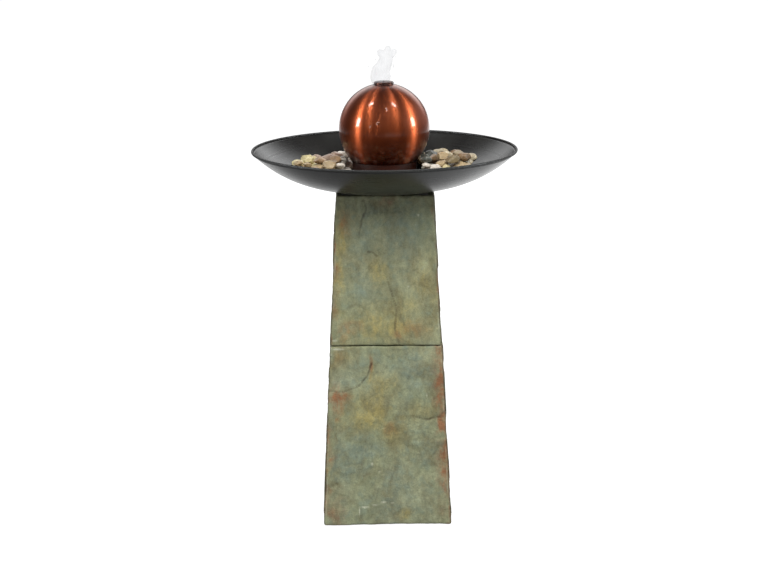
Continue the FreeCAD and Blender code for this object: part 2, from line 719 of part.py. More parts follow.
def make_stones():
    draw = random.Random(STONE_SEED + 1)
    stones = []
    for x, y, z, size in stone_places():
        scale = FreeCAD.Matrix()
        scale.scale(Vec(size, size * draw.uniform(*STONE_WIDTH), size * STONE_FLATNESS))
        stone = Part.makeSphere(1).transformGeometry(scale)
        stone.rotate(Vec(0, 0, 0), UP, draw.uniform(0, 180))
        stone.translate(Vec(x, y, z))
        stones.append(stone)
    return Part.makeCompound(stones)


def make_jet():
    """The water that wells up above the nozzle, as one smooth column."""
    base_z = BALL_Z + BALL_R + NOZZLE_COLLAR_T
    points = [
        Vec(JET_BASE_R, 0, base_z),
        Vec(JET_WAIST_R, 0, base_z + JET_WAIST_H),
        Vec(JET_HEAD_R, 0, JET_TOP_Z - JET_HEAD_R),
        Vec(0, 0, JET_TOP_Z),
    ]
    side = Part.BSplineCurve()
    side.interpolate(points)
    edges = [
        side.toShape(),
        Part.makeLine(Vec(0, 0, JET_TOP_Z), Vec(0, 0, base_z)),
        Part.makeLine(Vec(0, 0, base_z), Vec(JET_BASE_R, 0, base_z)),
    ]
    return Part.Face(Part.Wire(edges)).revolve(Vec(0, 0, 0), UP, 360)


def build():
    nodes = {}
    nodes.update(make_slates())
    nodes.update(make_boards())
    nodes["base_battens"] = make_battens(FOOT_H, FOOT_H + BATTEN)
    nodes["top_battens"] = make_battens(DECK_Z - DECK_T - BATTEN, DECK_Z - DECK_T)
    nodes["top_deck"] = make_deck()
    nodes["deck_screws"] = make_deck_screws()
    nodes["rubber_feet"] = make_feet()
    nodes["foot_screws"] = make_foot_screws()
    nodes["lead_exit_bush"], bush_space = make_lead_bush()
    nodes["bowl_gasket"] = ring_z(GASKET_OUT_R, (DECK_Z, DECK_Z + GASKET_T), GASKET_IN_R)
    nodes["bowl"] = make_bowl()
    nodes.update(make_standpipe_parts())
    nodes["ball_stand"] = make_ball_stand()
    nodes["ball_shell"] = make_ball_shell()
    nodes.update(make_nozzle_parts())
    nodes["outlet_tube"] = make_tube()
    nodes["pump_housing"] = make_pump_housing()
    nodes["pump_lead_gland"] = make_gland()
    nodes["pump_volute_cover"] = make_volute_cover()
    nodes.update(make_rotor_parts())
    nodes["pump_intake_cover"] = make_intake_cover()
    nodes["flow_dial"] = make_flow_dial()
    nodes["suction_cups"] = make_suction_cups()
    nodes["river_pebbles"] = make_stones()
    nodes["water_jet"] = make_jet()

    for holder, fastener in (
        ("top_deck", "deck_screws"),
        ("top_battens", "deck_screws"),
        ("base_battens", "foot_screws"),
        ("pump_housing", "suction_cups"),
        ("pump_volute_cover", "suction_cups"),
    ):
        nodes[holder] = nodes[holder].cut(nodes[fastener])
    for wall in ("slate_rear_lower", "core_board_rear"):
        nodes[wall] = nodes[wall].cut(bush_space)
    return nodes


def main():
    os.makedirs("parts", exist_ok=True)
    for name, shape in sorted(build().items()):
        if not shape.isValid():
            print("not valid:", name)
        print("%-20s %3d solids %12.1f mm3" % (name, len(shape.Solids), shape.Volume))
        shape.exportStep("parts/%s.step" % name)


main()
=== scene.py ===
import json
import math
import random

import bmesh
import bpy
import numpy as np
from mathutils import Matrix, Vector
from mathutils.bvhtree import BVHTree


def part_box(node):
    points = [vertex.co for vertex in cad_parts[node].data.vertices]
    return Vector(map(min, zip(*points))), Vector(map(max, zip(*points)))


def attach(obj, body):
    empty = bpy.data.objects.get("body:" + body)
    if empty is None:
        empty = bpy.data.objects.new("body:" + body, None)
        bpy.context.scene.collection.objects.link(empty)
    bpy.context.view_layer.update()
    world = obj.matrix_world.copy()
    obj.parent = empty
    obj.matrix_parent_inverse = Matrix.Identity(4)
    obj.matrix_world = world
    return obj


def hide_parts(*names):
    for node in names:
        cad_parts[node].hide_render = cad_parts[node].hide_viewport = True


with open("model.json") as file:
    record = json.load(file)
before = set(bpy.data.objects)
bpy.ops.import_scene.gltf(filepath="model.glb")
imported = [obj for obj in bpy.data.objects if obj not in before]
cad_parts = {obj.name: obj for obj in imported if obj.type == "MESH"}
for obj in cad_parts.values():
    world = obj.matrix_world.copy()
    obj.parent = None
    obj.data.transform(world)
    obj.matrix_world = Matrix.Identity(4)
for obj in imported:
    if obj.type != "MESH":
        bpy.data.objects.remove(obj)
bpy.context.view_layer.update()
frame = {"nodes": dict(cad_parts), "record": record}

UP = Vector((0.0, 0.0, 1.0))
MM = 0.001
WHITE_LIGHT = (1.0, 1.0, 1.0, 1.0)
nodes = frame["nodes"]


# ---------------- main sizes, from the frame

bowl_low, bowl_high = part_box("bowl")
gasket_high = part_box("bowl_gasket")[1]
ball_low, ball_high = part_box("ball_shell")
jet_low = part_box("water_jet")[0]
RIM_R = bowl_high.x
BALL_R = ball_high.x
NOZZLE_HOLE_R = 6.7 * MM
# The nozzle's hole cuts the ball's top off. Its middle is worked out from there, to a tenth of a millimetre.
BALL_Z = round(ball_high.z - math.sqrt(BALL_R ** 2 - NOZZLE_HOLE_R ** 2), 4)


# ---------------- noise and numbers

# Large numbers that scatter a place and a seed into one evenly spread number.
HASH_AXES = np.array([73856093, 19349663, 83492791])
HASH_SEED = 2654435761
HASH_ROUNDS = ((15, 2246822519), (13, 3266489917))
HASH_MASK = 0xFFFFFFFF


def noise(points, seed):
    """Smooth noise from -1 to 1 at an array of points, about one bump to each unit of length."""
    cell = np.floor(points).astype(np.int64)
    part = points - cell
    part = part ** 3 * (part * (part * 6.0 - 15.0) + 10.0)
    total = np.zeros(len(points))
    for corner in range(8):
        step = np.array([corner & 1, corner >> 1 & 1, corner >> 2 & 1])
        at = (cell + step) * HASH_AXES
        key = (at[:, 0] ^ at[:, 1] ^ at[:, 2] ^ (seed * HASH_SEED)) & HASH_MASK
        for shift, factor in HASH_ROUNDS:
            key = ((key ^ (key >> shift)) * factor) & HASH_MASK
        value = ((key ^ (key >> 16)) & 0xFFFF) / 32767.5 - 1.0
        total += value * np.prod(np.where(step == 1, part, 1.0 - part), axis=1)
    return total


def fractal(points, seed, octaves=4, gain=0.5):
    """Several layers of noise, each twice as fine as the last."""
    total = np.zeros(len(points))
    weight, scale, whole = 1.0, 1.0, 0.0
    for k in range(octaves):
        total += weight * noise(points * scale, seed + 31 * k)
        whole += weight
        weight *= gain
        scale *= 2.0
    return total / whole


def smoothstep(low, high, value):
    """A soft step from 0 at low to 1 at high; it falls instead where high is the smaller."""
    t = np.clip((value - low) / (high - low), 0.0, 1.0)
    return t * t * (3.0 - 2.0 * t)


def srgb(red, green, blue):
    """A colour given in the usual 0 to 255 steps, as linear numbers."""
    def linear(step):
        share = step / 255.0
        return share / 12.92 if share <= 0.04045 else ((share + 0.055) / 1.055) ** 2.4
    return (linear(red), linear(green), linear(blue), 1.0)


# ---------------- meshes

def make_piece(name, vertices, faces, material, smooth=True):
    """A new object with one mesh and one material."""
    mesh = bpy.data.meshes.new(name)
    mesh.from_pydata([tuple(v) for v in vertices], [], faces)
    mesh.update()
    piece = bpy.data.objects.new(name, mesh)
    bpy.context.scene.collection.objects.link(piece)
    mesh.materials.append(material)
    if smooth:
        mesh.polygons.foreach_set("use_smooth", [True] * len(mesh.polygons))
    return piece


def place(piece, body, replaced):
    """Rides a piece on its body, with its finish, in place of a CAD node."""
    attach(piece, body)
    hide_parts(replaced)


def add_attribute(mesh, name, values, kind="FLOAT", field="value"):
    """Stores one number or colour for each point, for the material to read."""
    layer = mesh.attributes.new(name, kind, "POINT")
    layer.data.foreach_set(field, np.asarray(values, np.float32).ravel())


def lathe(profile, segments):
    """Vertices and faces of a closed outline of (radius, height) points turned about the Z axis."""
    turns = np.arange(segments) * (2.0 * math.pi / segments)
    radii, heights = np.array(profile).T
    x, y = np.outer(radii, np.cos(turns)), np.outer(radii, np.sin(turns))
    z = np.outer(heights, np.ones(segments))
    vertices = np.stack([x, y, z], axis=-1).reshape(-1, 3)
    faces = []
    for row in range(len(profile)):
        low = row * segments
        high = (row + 1) % len(profile) * segments
        for k in range(segments):
            n = (k + 1) % segments
            faces.append((low + k, low + n, high + n, high + k))
    return vertices, faces


def arc_points(centre, radius, start, end, count):
    """Points on an arc in the (radius, height) plane, angles in degrees."""
    turns = np.radians(np.linspace(start, end, count))
    return [(centre[0] + radius * math.cos(t), centre[1] + radius * math.sin(t)) for t in turns]


# ---------------- materials

class Wiring:
    """A short way to add and link the nodes of one node tree."""

    def __init__(self, tree):
        self.tree = tree

    def node(self, kind, **values):
        new = self.tree.nodes.new(kind)
        for key, value in values.items():
            setattr(new, key, value)
        return new

    def link(self, source, target):
        self.tree.links.new(source, target)

    def feed(self, socket, value):
        """Links an output to a socket, or sets the socket to a number or colour."""
        if hasattr(value, "is_output"):
            self.link(value, socket)
        else:
            socket.default_value = value

    def ramp(self, value, low, high, start=0.0, end=1.0):
        """Maps value from low..high to start..end."""
        new = self.node("ShaderNodeMapRange")
        names = ("Value", "From Min", "From Max", "To Min", "To Max")
        for name, given in zip(names, (value, low, high, start, end)):
            self.feed(new.inputs[name], given)
        return new.outputs["Result"]

    def math(self, operation, first, second):
        new = self.node("ShaderNodeMath", operation=operation)
        self.feed(new.inputs[0], first)
        self.feed(new.inputs[1], second)
        return new.outputs["Value"]

    def times(self, first, second):
        return self.math("MULTIPLY", first, second)

    def plus(self, first, second):
        return self.math("ADD", first, second)

    def split(self, vector):
        """The X, Y and Z of a vector."""
        new = self.node("ShaderNodeSeparateXYZ")
        self.link(vector, new.inputs["Vector"])
        return new.outputs

    def mix(self, amount, first, second, blend="MIX", kind="RGBA"):
        """Mixes two colours, or two numbers of kind FLOAT; an amount of 1 gives all of the second."""
        new = self.node("ShaderNodeMix", data_type=kind, blend_type=blend)
        for name, value in (("Factor", amount), ("A", first), ("B", second)):
            sockets = [s for s in new.inputs if s.name == name and s.enabled]
            self.feed(sockets[0], value)
        return [s for s in new.outputs if s.enabled][0]


class Shader(Wiring):
    """The wiring of one material, whose noise is laid out in the object's own metres."""

    def __init__(self, name):
        self.material = bpy.data.materials.new(name)
        self.material.use_nodes = True
        super().__init__(self.material.node_tree)
        self.surface = self.tree.nodes["Principled BSDF"]
        self.position = self.node("ShaderNodeTexCoord").outputs["Object"]

    def put(self, name, value):
        """Sets or links a socket of the surface."""
        self.feed(self.surface.inputs[name], value)

    def noise(self, scale, detail=4.0, rough=0.55, stretch=None, distort=0.0):
        new = self.node("ShaderNodeTexNoise")
        place_at = self.position
        if stretch:
            mapping = self.node("ShaderNodeMapping")
            self.feed(mapping.inputs["Vector"], self.position)
            self.feed(mapping.inputs["Scale"], stretch)
            place_at = mapping.outputs["Vector"]
        names = ("Vector", "Scale", "Detail", "Roughness", "Distortion")
        for name, given in zip(names, (place_at, scale, detail, rough, distort)):
            self.feed(new.inputs[name], given)
        return new.outputs["Fac"]

    def attribute(self, name, output="Fac"):
        return self.node("ShaderNodeAttribute", attribute_name=name).outputs[output]

    def bump(self, height, depth, strength, under=None):
        """A normal from a height, laid over another normal if there is one."""
        new = self.node("ShaderNodeBump")
        self.feed(new.inputs["Strength"], strength)
        self.feed(new.inputs["Distance"], depth)
        self.link(height, new.inputs["Height"])
        if under is not None:
            self.link(under, new.inputs["Normal"])
        return new.outputs["Normal"]


def slate_material():
    """Split slate: grey green, with cool, ochre and rusty patches and pale chips; painted shade darkens the
    clefts and side edges, and a painted highlight runs near the side edges.
    """
    m = Shader("split_slate")
    broad = m.noise(7.0, detail=5.0, rough=0.6)
    veins = m.noise(26.0, detail=6.0, rough=0.62, stretch=(1.0, 1.0, 0.65), distort=0.6)
    mottle = m.noise(62.0, detail=5.0, rough=0.62)
    scratch = m.noise(130.0, rough=0.65, stretch=(1.0, 1.0, 0.55))
    fine = m.noise(420.0, detail=3.0, rough=0.7)
    colour = m.mix(m.ramp(broad, 0.38, 0.62), srgb(124, 128, 98), srgb(144, 147, 117))
    colour = m.mix(m.ramp(veins, 0.45, 0.66, 0.0, 0.65), colour, srgb(120, 112, 80))
    colour = m.mix(m.ramp(mottle, 0.50, 0.70, 0.0, 0.55), colour, srgb(118, 132, 114))
    for name, tint, most in (
        ("cool", srgb(118, 130, 114), 0.85),
        ("ochre", srgb(152, 140, 86), 0.80),
        ("rust", srgb(130, 90, 60), 0.95),
        # cleft: painted shade in the clefts, along some ledges and at the side edges
        ("cleft", srgb(56, 48, 36), 0.90),
        # pale: flecks and chips, and a painted highlight near the side edges
        ("pale", srgb(178, 180, 158), 0.75),
    ):
        uneven = m.times(m.attribute(name), m.ramp(mottle, 0.34, 0.60, 0.40, 1.2))
        if name in ("rust", "ochre"):
            uneven = m.times(uneven, m.ramp(scratch, 0.38, 0.58, 0.80, 1.3))
        colour = m.mix(m.ramp(uneven, 0.04, 0.95, 0.0, most), colour, tint)
    shade = m.times(m.ramp(fine, 0.32, 0.68, 0.85, 1.14), m.ramp(veins, 0.30, 0.70, 1.14, 0.83))
    shade = m.times(shade, m.ramp(scratch, 0.36, 0.64, 0.87, 1.13))
    m.put("Base Color", m.mix(1.0, colour, shade, blend="MULTIPLY"))
    m.put("Roughness", m.ramp(veins, 0.3, 0.7, 0.56, 0.76))
    m.put("Specular IOR Level", 0.4)
    coarse = m.bump(m.plus(veins, mottle), 3.0 * MM, 0.8)
    m.put("Normal", m.bump(m.plus(scratch, fine), 0.6 * MM, 0.6, coarse))
    return m.material


def bowl_material():
    """Dark satin patina with fine lines round the bowl, as spinning leaves them, and a duller rim."""
    m = Shader("dark_patina")
    soft = m.noise(14.0)
    flat = m.node("ShaderNodeVectorMath", operation="MULTIPLY")
    m.feed(flat.inputs[0], m.position)
    m.feed(flat.inputs[1], (1.0, 1.0, 0.0))
    length = m.node("ShaderNodeVectorMath", operation="LENGTH")
    m.feed(length.inputs[0], flat.outputs["Vector"])
    radius = length.outputs["Value"]
    lines = m.node("ShaderNodeTexNoise", noise_dimensions="1D")
    for name, given in (("W", radius), ("Scale", 320.0), ("Detail", 3.0)):
        m.feed(lines.inputs[name], given)
    m.put("Base Color", m.mix(m.ramp(soft, 0.35, 0.65), srgb(27, 26, 25), srgb(37, 36, 34)))
    rough = m.ramp(m.plus(soft, lines.outputs["Fac"]), 0.7, 1.3, 0.26, 0.33)
    rim = m.ramp(radius, RIM_R - 6.5 * MM, RIM_R - 4.5 * MM, 0.0, 0.25)
    m.put("Roughness", m.plus(rough, rim))
    m.put("Specular IOR Level", 0.58)
    m.put("Specular Tint", (0.92, 0.97, 1.0, 1.0))
    m.put("Normal", m.bump(lines.outputs["Fac"], 0.03 * MM, 0.15))
    return m.material


def copper_material():
    """Spun copper under running water: streaks from pole to pole and a wet coat, with painted shade that
    darkens it towards the foot and over the top.
    """
    m = Shader("wet_copper")
    cloud = m.noise(22.0, stretch=(1.0, 1.0, 0.25))
    fine = m.noise(120.0, detail=3.0, stretch=(1.0, 1.0, 0.12))
    height = m.plus(m.split(m.position)["Z"], m.times(cloud, 12 * MM))
    bright = m.mix(m.ramp(cloud, 0.35, 0.65), (0.40, 0.084, 0.027, 1.0), (0.56, 0.130, 0.046, 1.0))
    # Painted shade: darker towards the foot, standing in for the dark bowl and stones mirrored there.
    foot = m.ramp(height, BALL_Z - 63.4 * MM, BALL_Z + 31.6 * MM)
    colour = m.mix(foot, (0.035, 0.004, 0.0015, 1.0), bright)
    # Painted shade: darker over the top as well.
    top = m.ramp(height, BALL_Z + 51.6 * MM, BALL_Z + 84.6 * MM)
    colour = m.mix(top, colour, (0.25, 0.058, 0.024, 1.0))
    lip = m.ramp(height, BALL_Z + 89.6 * MM, BALL_Z + 91.1 * MM)
    m.put("Base Color", m.mix(lip, colour, (0.10, 0.045, 0.036, 1.0)))
    m.put("Metallic", 1.0)
    m.put("Roughness", m.ramp(fine, 0.3, 0.7, 0.38, 0.46))
    m.put("Anisotropic", 0.92)
    m.put("Anisotropic Rotation", 0.25)
    tangent = m.node("ShaderNodeTangent", direction_type="RADIAL", axis="Z")
    m.put("Tangent", tangent.outputs["Tangent"])
    m.put("Coat Weight", 0.7)
    m.put("Coat Roughness", 0.13)
    m.put("Coat IOR", 1.45)
    return m.material


def pebble_material():
    """River stones: each has its own tint, with mottling, some banding and a wet sheen."""
    m = Shader("river_stone")
    mottle = m.noise(110.0, detail=5.0, rough=0.6)
    speck = m.noise(600.0, detail=3.0, rough=0.7)
    tint = m.attribute("stone_tint", "Color")
    dark = m.mix(1.0, tint, (0.50, 0.46, 0.42, 1.0), blend="MULTIPLY")
    colour = m.mix(m.ramp(mottle, 0.35, 0.66, 0.0, 0.75), tint, dark)
    colour = m.mix(m.ramp(speck, 0.55, 0.72, 0.0, 0.35), colour, srgb(214, 205, 188))
    bands = m.noise(70.0, detail=3.0, stretch=(0.25, 0.35, 2.8), distort=0.3)
    banded = m.times(m.attribute("banding"), m.ramp(bands, 0.45, 0.62, 0.0, 0.72))
    colour = m.mix(banded, colour, srgb(206, 200, 186))
    m.put("Base Color", colour)
    m.put("Roughness", m.ramp(mottle, 0.3, 0.7, 0.30, 0.52))
    m.put("Specular IOR Level", 0.5)
    m.put("Normal", m.bump(m.plus(mottle, speck), 0.8 * MM, 0.35))
    return m.material


def water_material():
    """Broken water, white with air, that lets what is behind it through."""
    m = Shader("broken_water")
    strands = m.noise(85.0, detail=3.0, stretch=(1.0, 1.0, 0.3))
    white = m.mix(m.ramp(strands, 0.3, 0.7), (0.36, 0.375, 0.405, 1.0), (0.46, 0.475, 0.50, 1.0))
    m.put("Base Color", white)
    m.put("Roughness", 0.6)
    m.put("Specular IOR Level", 0.2)
    m.put("Alpha", m.ramp(strands, 0.35, 0.65, 0.10, 0.20))
    m.put("Normal", m.bump(strands, 0.4 * MM, 0.2))
    return m.material


def moulded_material(name, dark, light, rough, scale=260.0, depth=0.2 * MM, metallic=0.0, shine=0.5):
    """A plain moulded or turned surface with a slight grain and uneven sheen."""
    m = Shader(name)
    broad = m.noise(18.0)
    grain = m.noise(scale, rough=0.65)
    m.put("Base Color", m.mix(m.ramp(m.plus(broad, grain), 0.75, 1.25), dark, light))
    m.put("Metallic", metallic)
    m.put("Roughness", m.ramp(broad, 0.3, 0.7, rough - 0.06, rough + 0.08))
    m.put("Specular IOR Level", shine)
    m.put("Normal", m.bump(grain, depth, 0.5))
    return m.material


def timber_material():
    """Treated softwood, with rings and a fine fibre."""
    m = Shader("treated_timber")
    rings = m.noise(60.0, stretch=(1.0, 1.0, 4.0), distort=0.8)
    fibre = m.noise(240.0, detail=3.0, stretch=(0.15, 0.15, 3.0))
    m.put("Base Color", m.mix(m.ramp(rings, 0.35, 0.65), srgb(152, 120, 78), srgb(186, 156, 108)))
    m.put("Roughness", m.ramp(fibre, 0.3, 0.7, 0.6, 0.8))
    m.put("Normal", m.bump(fibre, 0.4 * MM, 0.5))
    return m.material


def vinyl_material():
    """Clear vinyl tube, slightly cloudy."""
    m = Shader("clear_vinyl")
    cloud = m.noise(40.0, detail=2.0)
    m.put("Base Color", m.mix(m.ramp(cloud, 0.3, 0.7), (0.80, 0.84, 0.82, 1.0), (0.88, 0.91, 0.89, 1.0)))
    m.put("Roughness", 0.18)
    m.put("Alpha", 0.55)
    return m.material


materials = {
    "slate": slate_material(),
    "dark_metal": bowl_material(),
    "copper": copper_material(),
    "river_stone": pebble_material(),
    "water": water_material(),
    "fibre_cement": moulded_material("fibre_cement", srgb(150, 148, 142), srgb(176, 174, 167), 0.85,
                                     scale=90.0, depth=0.6 * MM),
    "timber": timber_material(),
    "steel": moulded_material("zinc_steel", (0.45, 0.45, 0.44, 1), (0.62, 0.62, 0.60, 1), 0.35,
                              scale=400.0, depth=0.1 * MM, metallic=1.0),
    "rubber": moulded_material("black_rubber", (0.018, 0.018, 0.019, 1), (0.032, 0.032, 0.034, 1), 0.70,
                               scale=500.0),
    "brass": moulded_material("turned_brass", (0.55, 0.36, 0.13, 1), (0.68, 0.47, 0.19, 1), 0.28,
                              scale=300.0, depth=0.1 * MM, metallic=1.0),
    "stand_plastic": moulded_material("stand_plastic", srgb(38, 15, 9), srgb(54, 22, 12), 0.55, shine=0.25),
    "pump_plastic": moulded_material("pump_plastic", (0.016, 0.016, 0.018, 1), (0.03, 0.03, 0.033, 1), 0.45),
    "impeller_plastic": moulded_material("impeller_plastic", (0.7, 0.7, 0.67, 1), (0.8, 0.8, 0.77, 1), 0.30),
    "magnet": moulded_material("ferrite", (0.055, 0.055, 0.06, 1), (0.085, 0.085, 0.09, 1), 0.38),
    "shaft_ceramic": moulded_material("shaft_ceramic", (0.80, 0.79, 0.73, 1), (0.88, 0.87, 0.82, 1), 0.15),
    "vinyl": vinyl_material(),
}


# ---------------- slate slabs

SLATE_PITCH = 1.8 * MM
CORNER_ROUND = 4.5 * MM
CHIP_REACH = 3.2 * MM
CHIP_DEPTH = 1.7 * MM
SLATE_SEED = 100
# The way each side of the pedestal faces.
SIDES = {"front": (0, -1, 0), "rear": (0, 1, 0), "left": (-1, 0, 0), "right": (1, 0, 0)}
# What shows on the two front slabs, placed as shares of the face: across from -1 to 1, up from 0 to 1,
# then the patch's reach both ways and its strength.
FRONT_PATCHES = {
    ("lower", "rust"): [
        (-0.93, 0.71, 0.24, 0.065, 1.0), (0.94, 0.94, 0.13, 0.07, 1.0), (0.96, 0.78, 0.11, 0.13, 1.0),
        (0.98, 0.6, 0.1, 0.1, 1.0), (0.97, 0.36, 0.1, 0.14, 1.0), (-0.97, 0.47, 0.08, 0.13, 0.85),
        (-0.97, 0.2, 0.08, 0.12, 0.85), (-0.31, 0.865, 0.04, 0.04, 0.8), (-0.86, 0.08, 0.18, 0.06, 0.55),
        (0.04, 0.53, 0.12, 0.045, 0.4), (-0.8, 0.93, 0.15, 0.05, 0.3), (0.9, 0.1, 0.1, 0.1, 0.3),
    ],
    ("lower", "ochre"): [
        (-0.27, 0.62, 0.38, 0.12, 0.9), (-0.05, 0.77, 0.28, 0.08, 0.75), (0.05, 0.5, 0.25, 0.08, 0.6),
        (0.27, 0.05, 0.1, 0.035, 0.9), (0.6, 0.66, 0.22, 0.06, 0.45), (-0.8, 0.93, 0.22, 0.06, 0.5),
        (-0.28, 0.83, 0.07, 0.05, 0.7), (-0.95, 0.25, 0.07, 0.12, 0.45),
    ],
    ("lower", "cool"): [
        (0.36, 0.84, 0.44, 0.13, 0.9), (-0.52, 0.4, 0.3, 0.13, 1.0), (-0.66, 0.86, 0.26, 0.07, 0.7),
        (0.15, 0.24, 0.3, 0.12, 0.8), (0.62, 0.42, 0.3, 0.1, 0.5), (-0.05, 0.93, 0.3, 0.05, 0.5),
        (-0.1, 0.1, 0.8, 0.16, 0.45),
    ],
    ("upper", "rust"): [
        (-0.8, 0.82, 0.1, 0.09, 0.6), (-0.94, 0.53, 0.07, 0.06, 0.7), (0.08, 0.95, 0.16, 0.04, 0.5),
        (-0.66, 0.11, 0.2, 0.045, 0.5), (0.55, 0.13, 0.25, 0.06, 0.35), (-0.93, 0.28, 0.06, 0.1, 0.5),
        (0.22, 0.06, 0.07, 0.05, 0.5), (0.95, 0.9, 0.05, 0.07, 0.4),
    ],
    ("upper", "ochre"): [
        (-0.16, 0.52, 0.18, 0.12, 0.7), (0.8, 0.46, 0.24, 0.18, 0.6), (0.05, 0.14, 0.75, 0.12, 0.75),
        (-0.88, 0.6, 0.11, 0.34, 0.8), (0.45, 0.28, 0.3, 0.08, 0.5), (-0.3, 0.22, 0.3, 0.08, 0.5),
    ],
    ("upper", "cool"): [
        (0.42, 0.78, 0.42, 0.15, 0.9), (-0.42, 0.38, 0.24, 0.15, 0.9), (-0.35, 0.76, 0.24, 0.16, 0.7),
        (0.1, 0.66, 0.4, 0.08, 0.5), (0.58, 0.05, 0.12, 0.06, 0.6),
    ],
}
# Cleft lines on the front slabs, as curves through a few points: across, up.
FRONT_CLEFTS = {
    "lower": [
        [(-1.02, 0.757), (-0.79, 0.748), (-0.49, 0.777), (-0.33, 0.837), (-0.26, 0.905)],
        [(0.42, 0.612), (0.68, 0.592), (0.88, 0.607), (1.0, 0.645)],
    ],
    "upper": [
        [(-0.43, 0.97), (-0.37, 0.92), (-0.46, 0.84), (-0.51, 0.75)],
        [(0.02, 0.46), (0.20, 0.25), (0.16, 0.10), (0.25, 0.0)],
        [(-0.34, 0.63), (-0.24, 0.625), (-0.16, 0.60)],
    ],
}
# Pale flecks: across, up, reach both ways.
FRONT_FLECKS = {
    "lower": [
        (0.69, 0.73, 0.014, 0.014), (-0.86, 0.985, 0.12, 0.006), (-0.98, 0.955, 0.04, 0.006),
        (-0.44, 0.075, 0.012, 0.03), (-0.34, 0.1, 0.06, 0.005), (-0.2, 0.112, 0.05, 0.006),
        (-0.06, 0.128, 0.05, 0.005), (0.08, 0.122, 0.03, 0.004), (-0.12, 0.3, 0.03, 0.008),
        (-0.24, 0.345, 0.02, 0.01),
    ],
    "upper": [
        (0.71, 0.515, 0.014, 0.01), (0.43, 0.395, 0.022, 0.007), (0.66, 0.87, 0.024, 0.01),
        (-0.93, 0.035, 0.05, 0.008),
    ],
}
# Each kind of patch, and how many are drawn at random on the other sides, with their least and most reach.
PATCH_KINDS = {"rust": (6, 0.05, 0.20), "ochre": (5, 0.15, 0.45), "cool": (6, 0.2, 0.45)}
DRAWN_CLEFTS = 3
DRAWN_FLECKS = 4
# The split face: the clefts' depth, the leaves in one unit of noise, the step from one leaf to the next, and
# how far a point may stand proud of the flat face or behind it.
CLEFT_DEPTH = 1.0 * MM
LEAVES = 7.0
LEAF_STEP = 0.62 * MM
MOST_PROUD = 1.6 * MM
MOST_SUNK = 5.0 * MM
# Where the rings of points round a slab's rim lie, as shares of the way from its face to its back.
RIM_SHARES = (0.22, 0.42, 0.62, 0.82, 1.0)


def random_patches(draw):
    """Patches drawn at random, with the rusty ones mostly near the side edges."""
    patches = {}
    for name, (count, least, most) in PATCH_KINDS.items():
        patches[name] = []
        for _ in range(count):
            across = draw.uniform(-1, 1)
            if name == "rust":
                across = math.copysign(abs(across) ** 0.3, across)
            size = draw.uniform(least, most)
            up = draw.uniform(0, 1)
            tall = size * draw.uniform(0.25, 0.6)
            patches[name].append((across, up, size, tall, draw.uniform(0.5, 1)))
    return patches


def random_clefts(draw):
    """Cleft lines drawn at random, each a shallow wave."""
    clefts = []
    for _ in range(DRAWN_CLEFTS):
        across = draw.uniform(-0.9, 0.5)
        up = draw.uniform(0.1, 0.9)
        bend = draw.uniform(-0.08, 0.08)
        length = draw.uniform(0.3, 0.7)
        shares = (0, 0.33, 0.66, 1.0)
        clefts.append([(across + length * t, up + bend * math.sin(3.0 * t) + 0.05 * t) for t in shares])
    return clefts


def slab_marks(side, level, seed):
    """One slab's patches, clefts and flecks: listed for the front, drawn at random elsewhere."""
    if side == "front":
        patches = {kind: FRONT_PATCHES[level, kind] for kind in PATCH_KINDS}
        return patches, FRONT_CLEFTS[level], FRONT_FLECKS[level]
    draw = random.Random(seed)
    patches = random_patches(draw)
    clefts = random_clefts(draw)
    flecks = [(draw.uniform(-0.9, 0.9), draw.uniform(0.1, 0.9), 0.02, 0.01) for _ in range(DRAWN_FLECKS)]
    return patches, clefts, flecks


def face_corners(node, outward):
    """The corners of a slab's outer face (low left, low right, high left, high right) and its thickness."""
    across = UP.cross(outward)
    points = [v.co.copy() for v in nodes[node].data.vertices]
    found = []
    for level in (min(p.z for p in points), max(p.z for p in points)):
        row = [p for p in points if abs(p.z - level) < 0.5 * MM]
        reach = max(p.dot(outward) for p in row)
        outer = [p for p in row if p.dot(outward) > reach - 0.5 * MM]
        found.append(min(outer, key=lambda p: p.dot(across)))
        found.append(max(outer, key=lambda p: p.dot(across)))
    thickness = reach - min(p.dot(outward) for p in row)
    return [np.array(corner) for corner in found], thickness


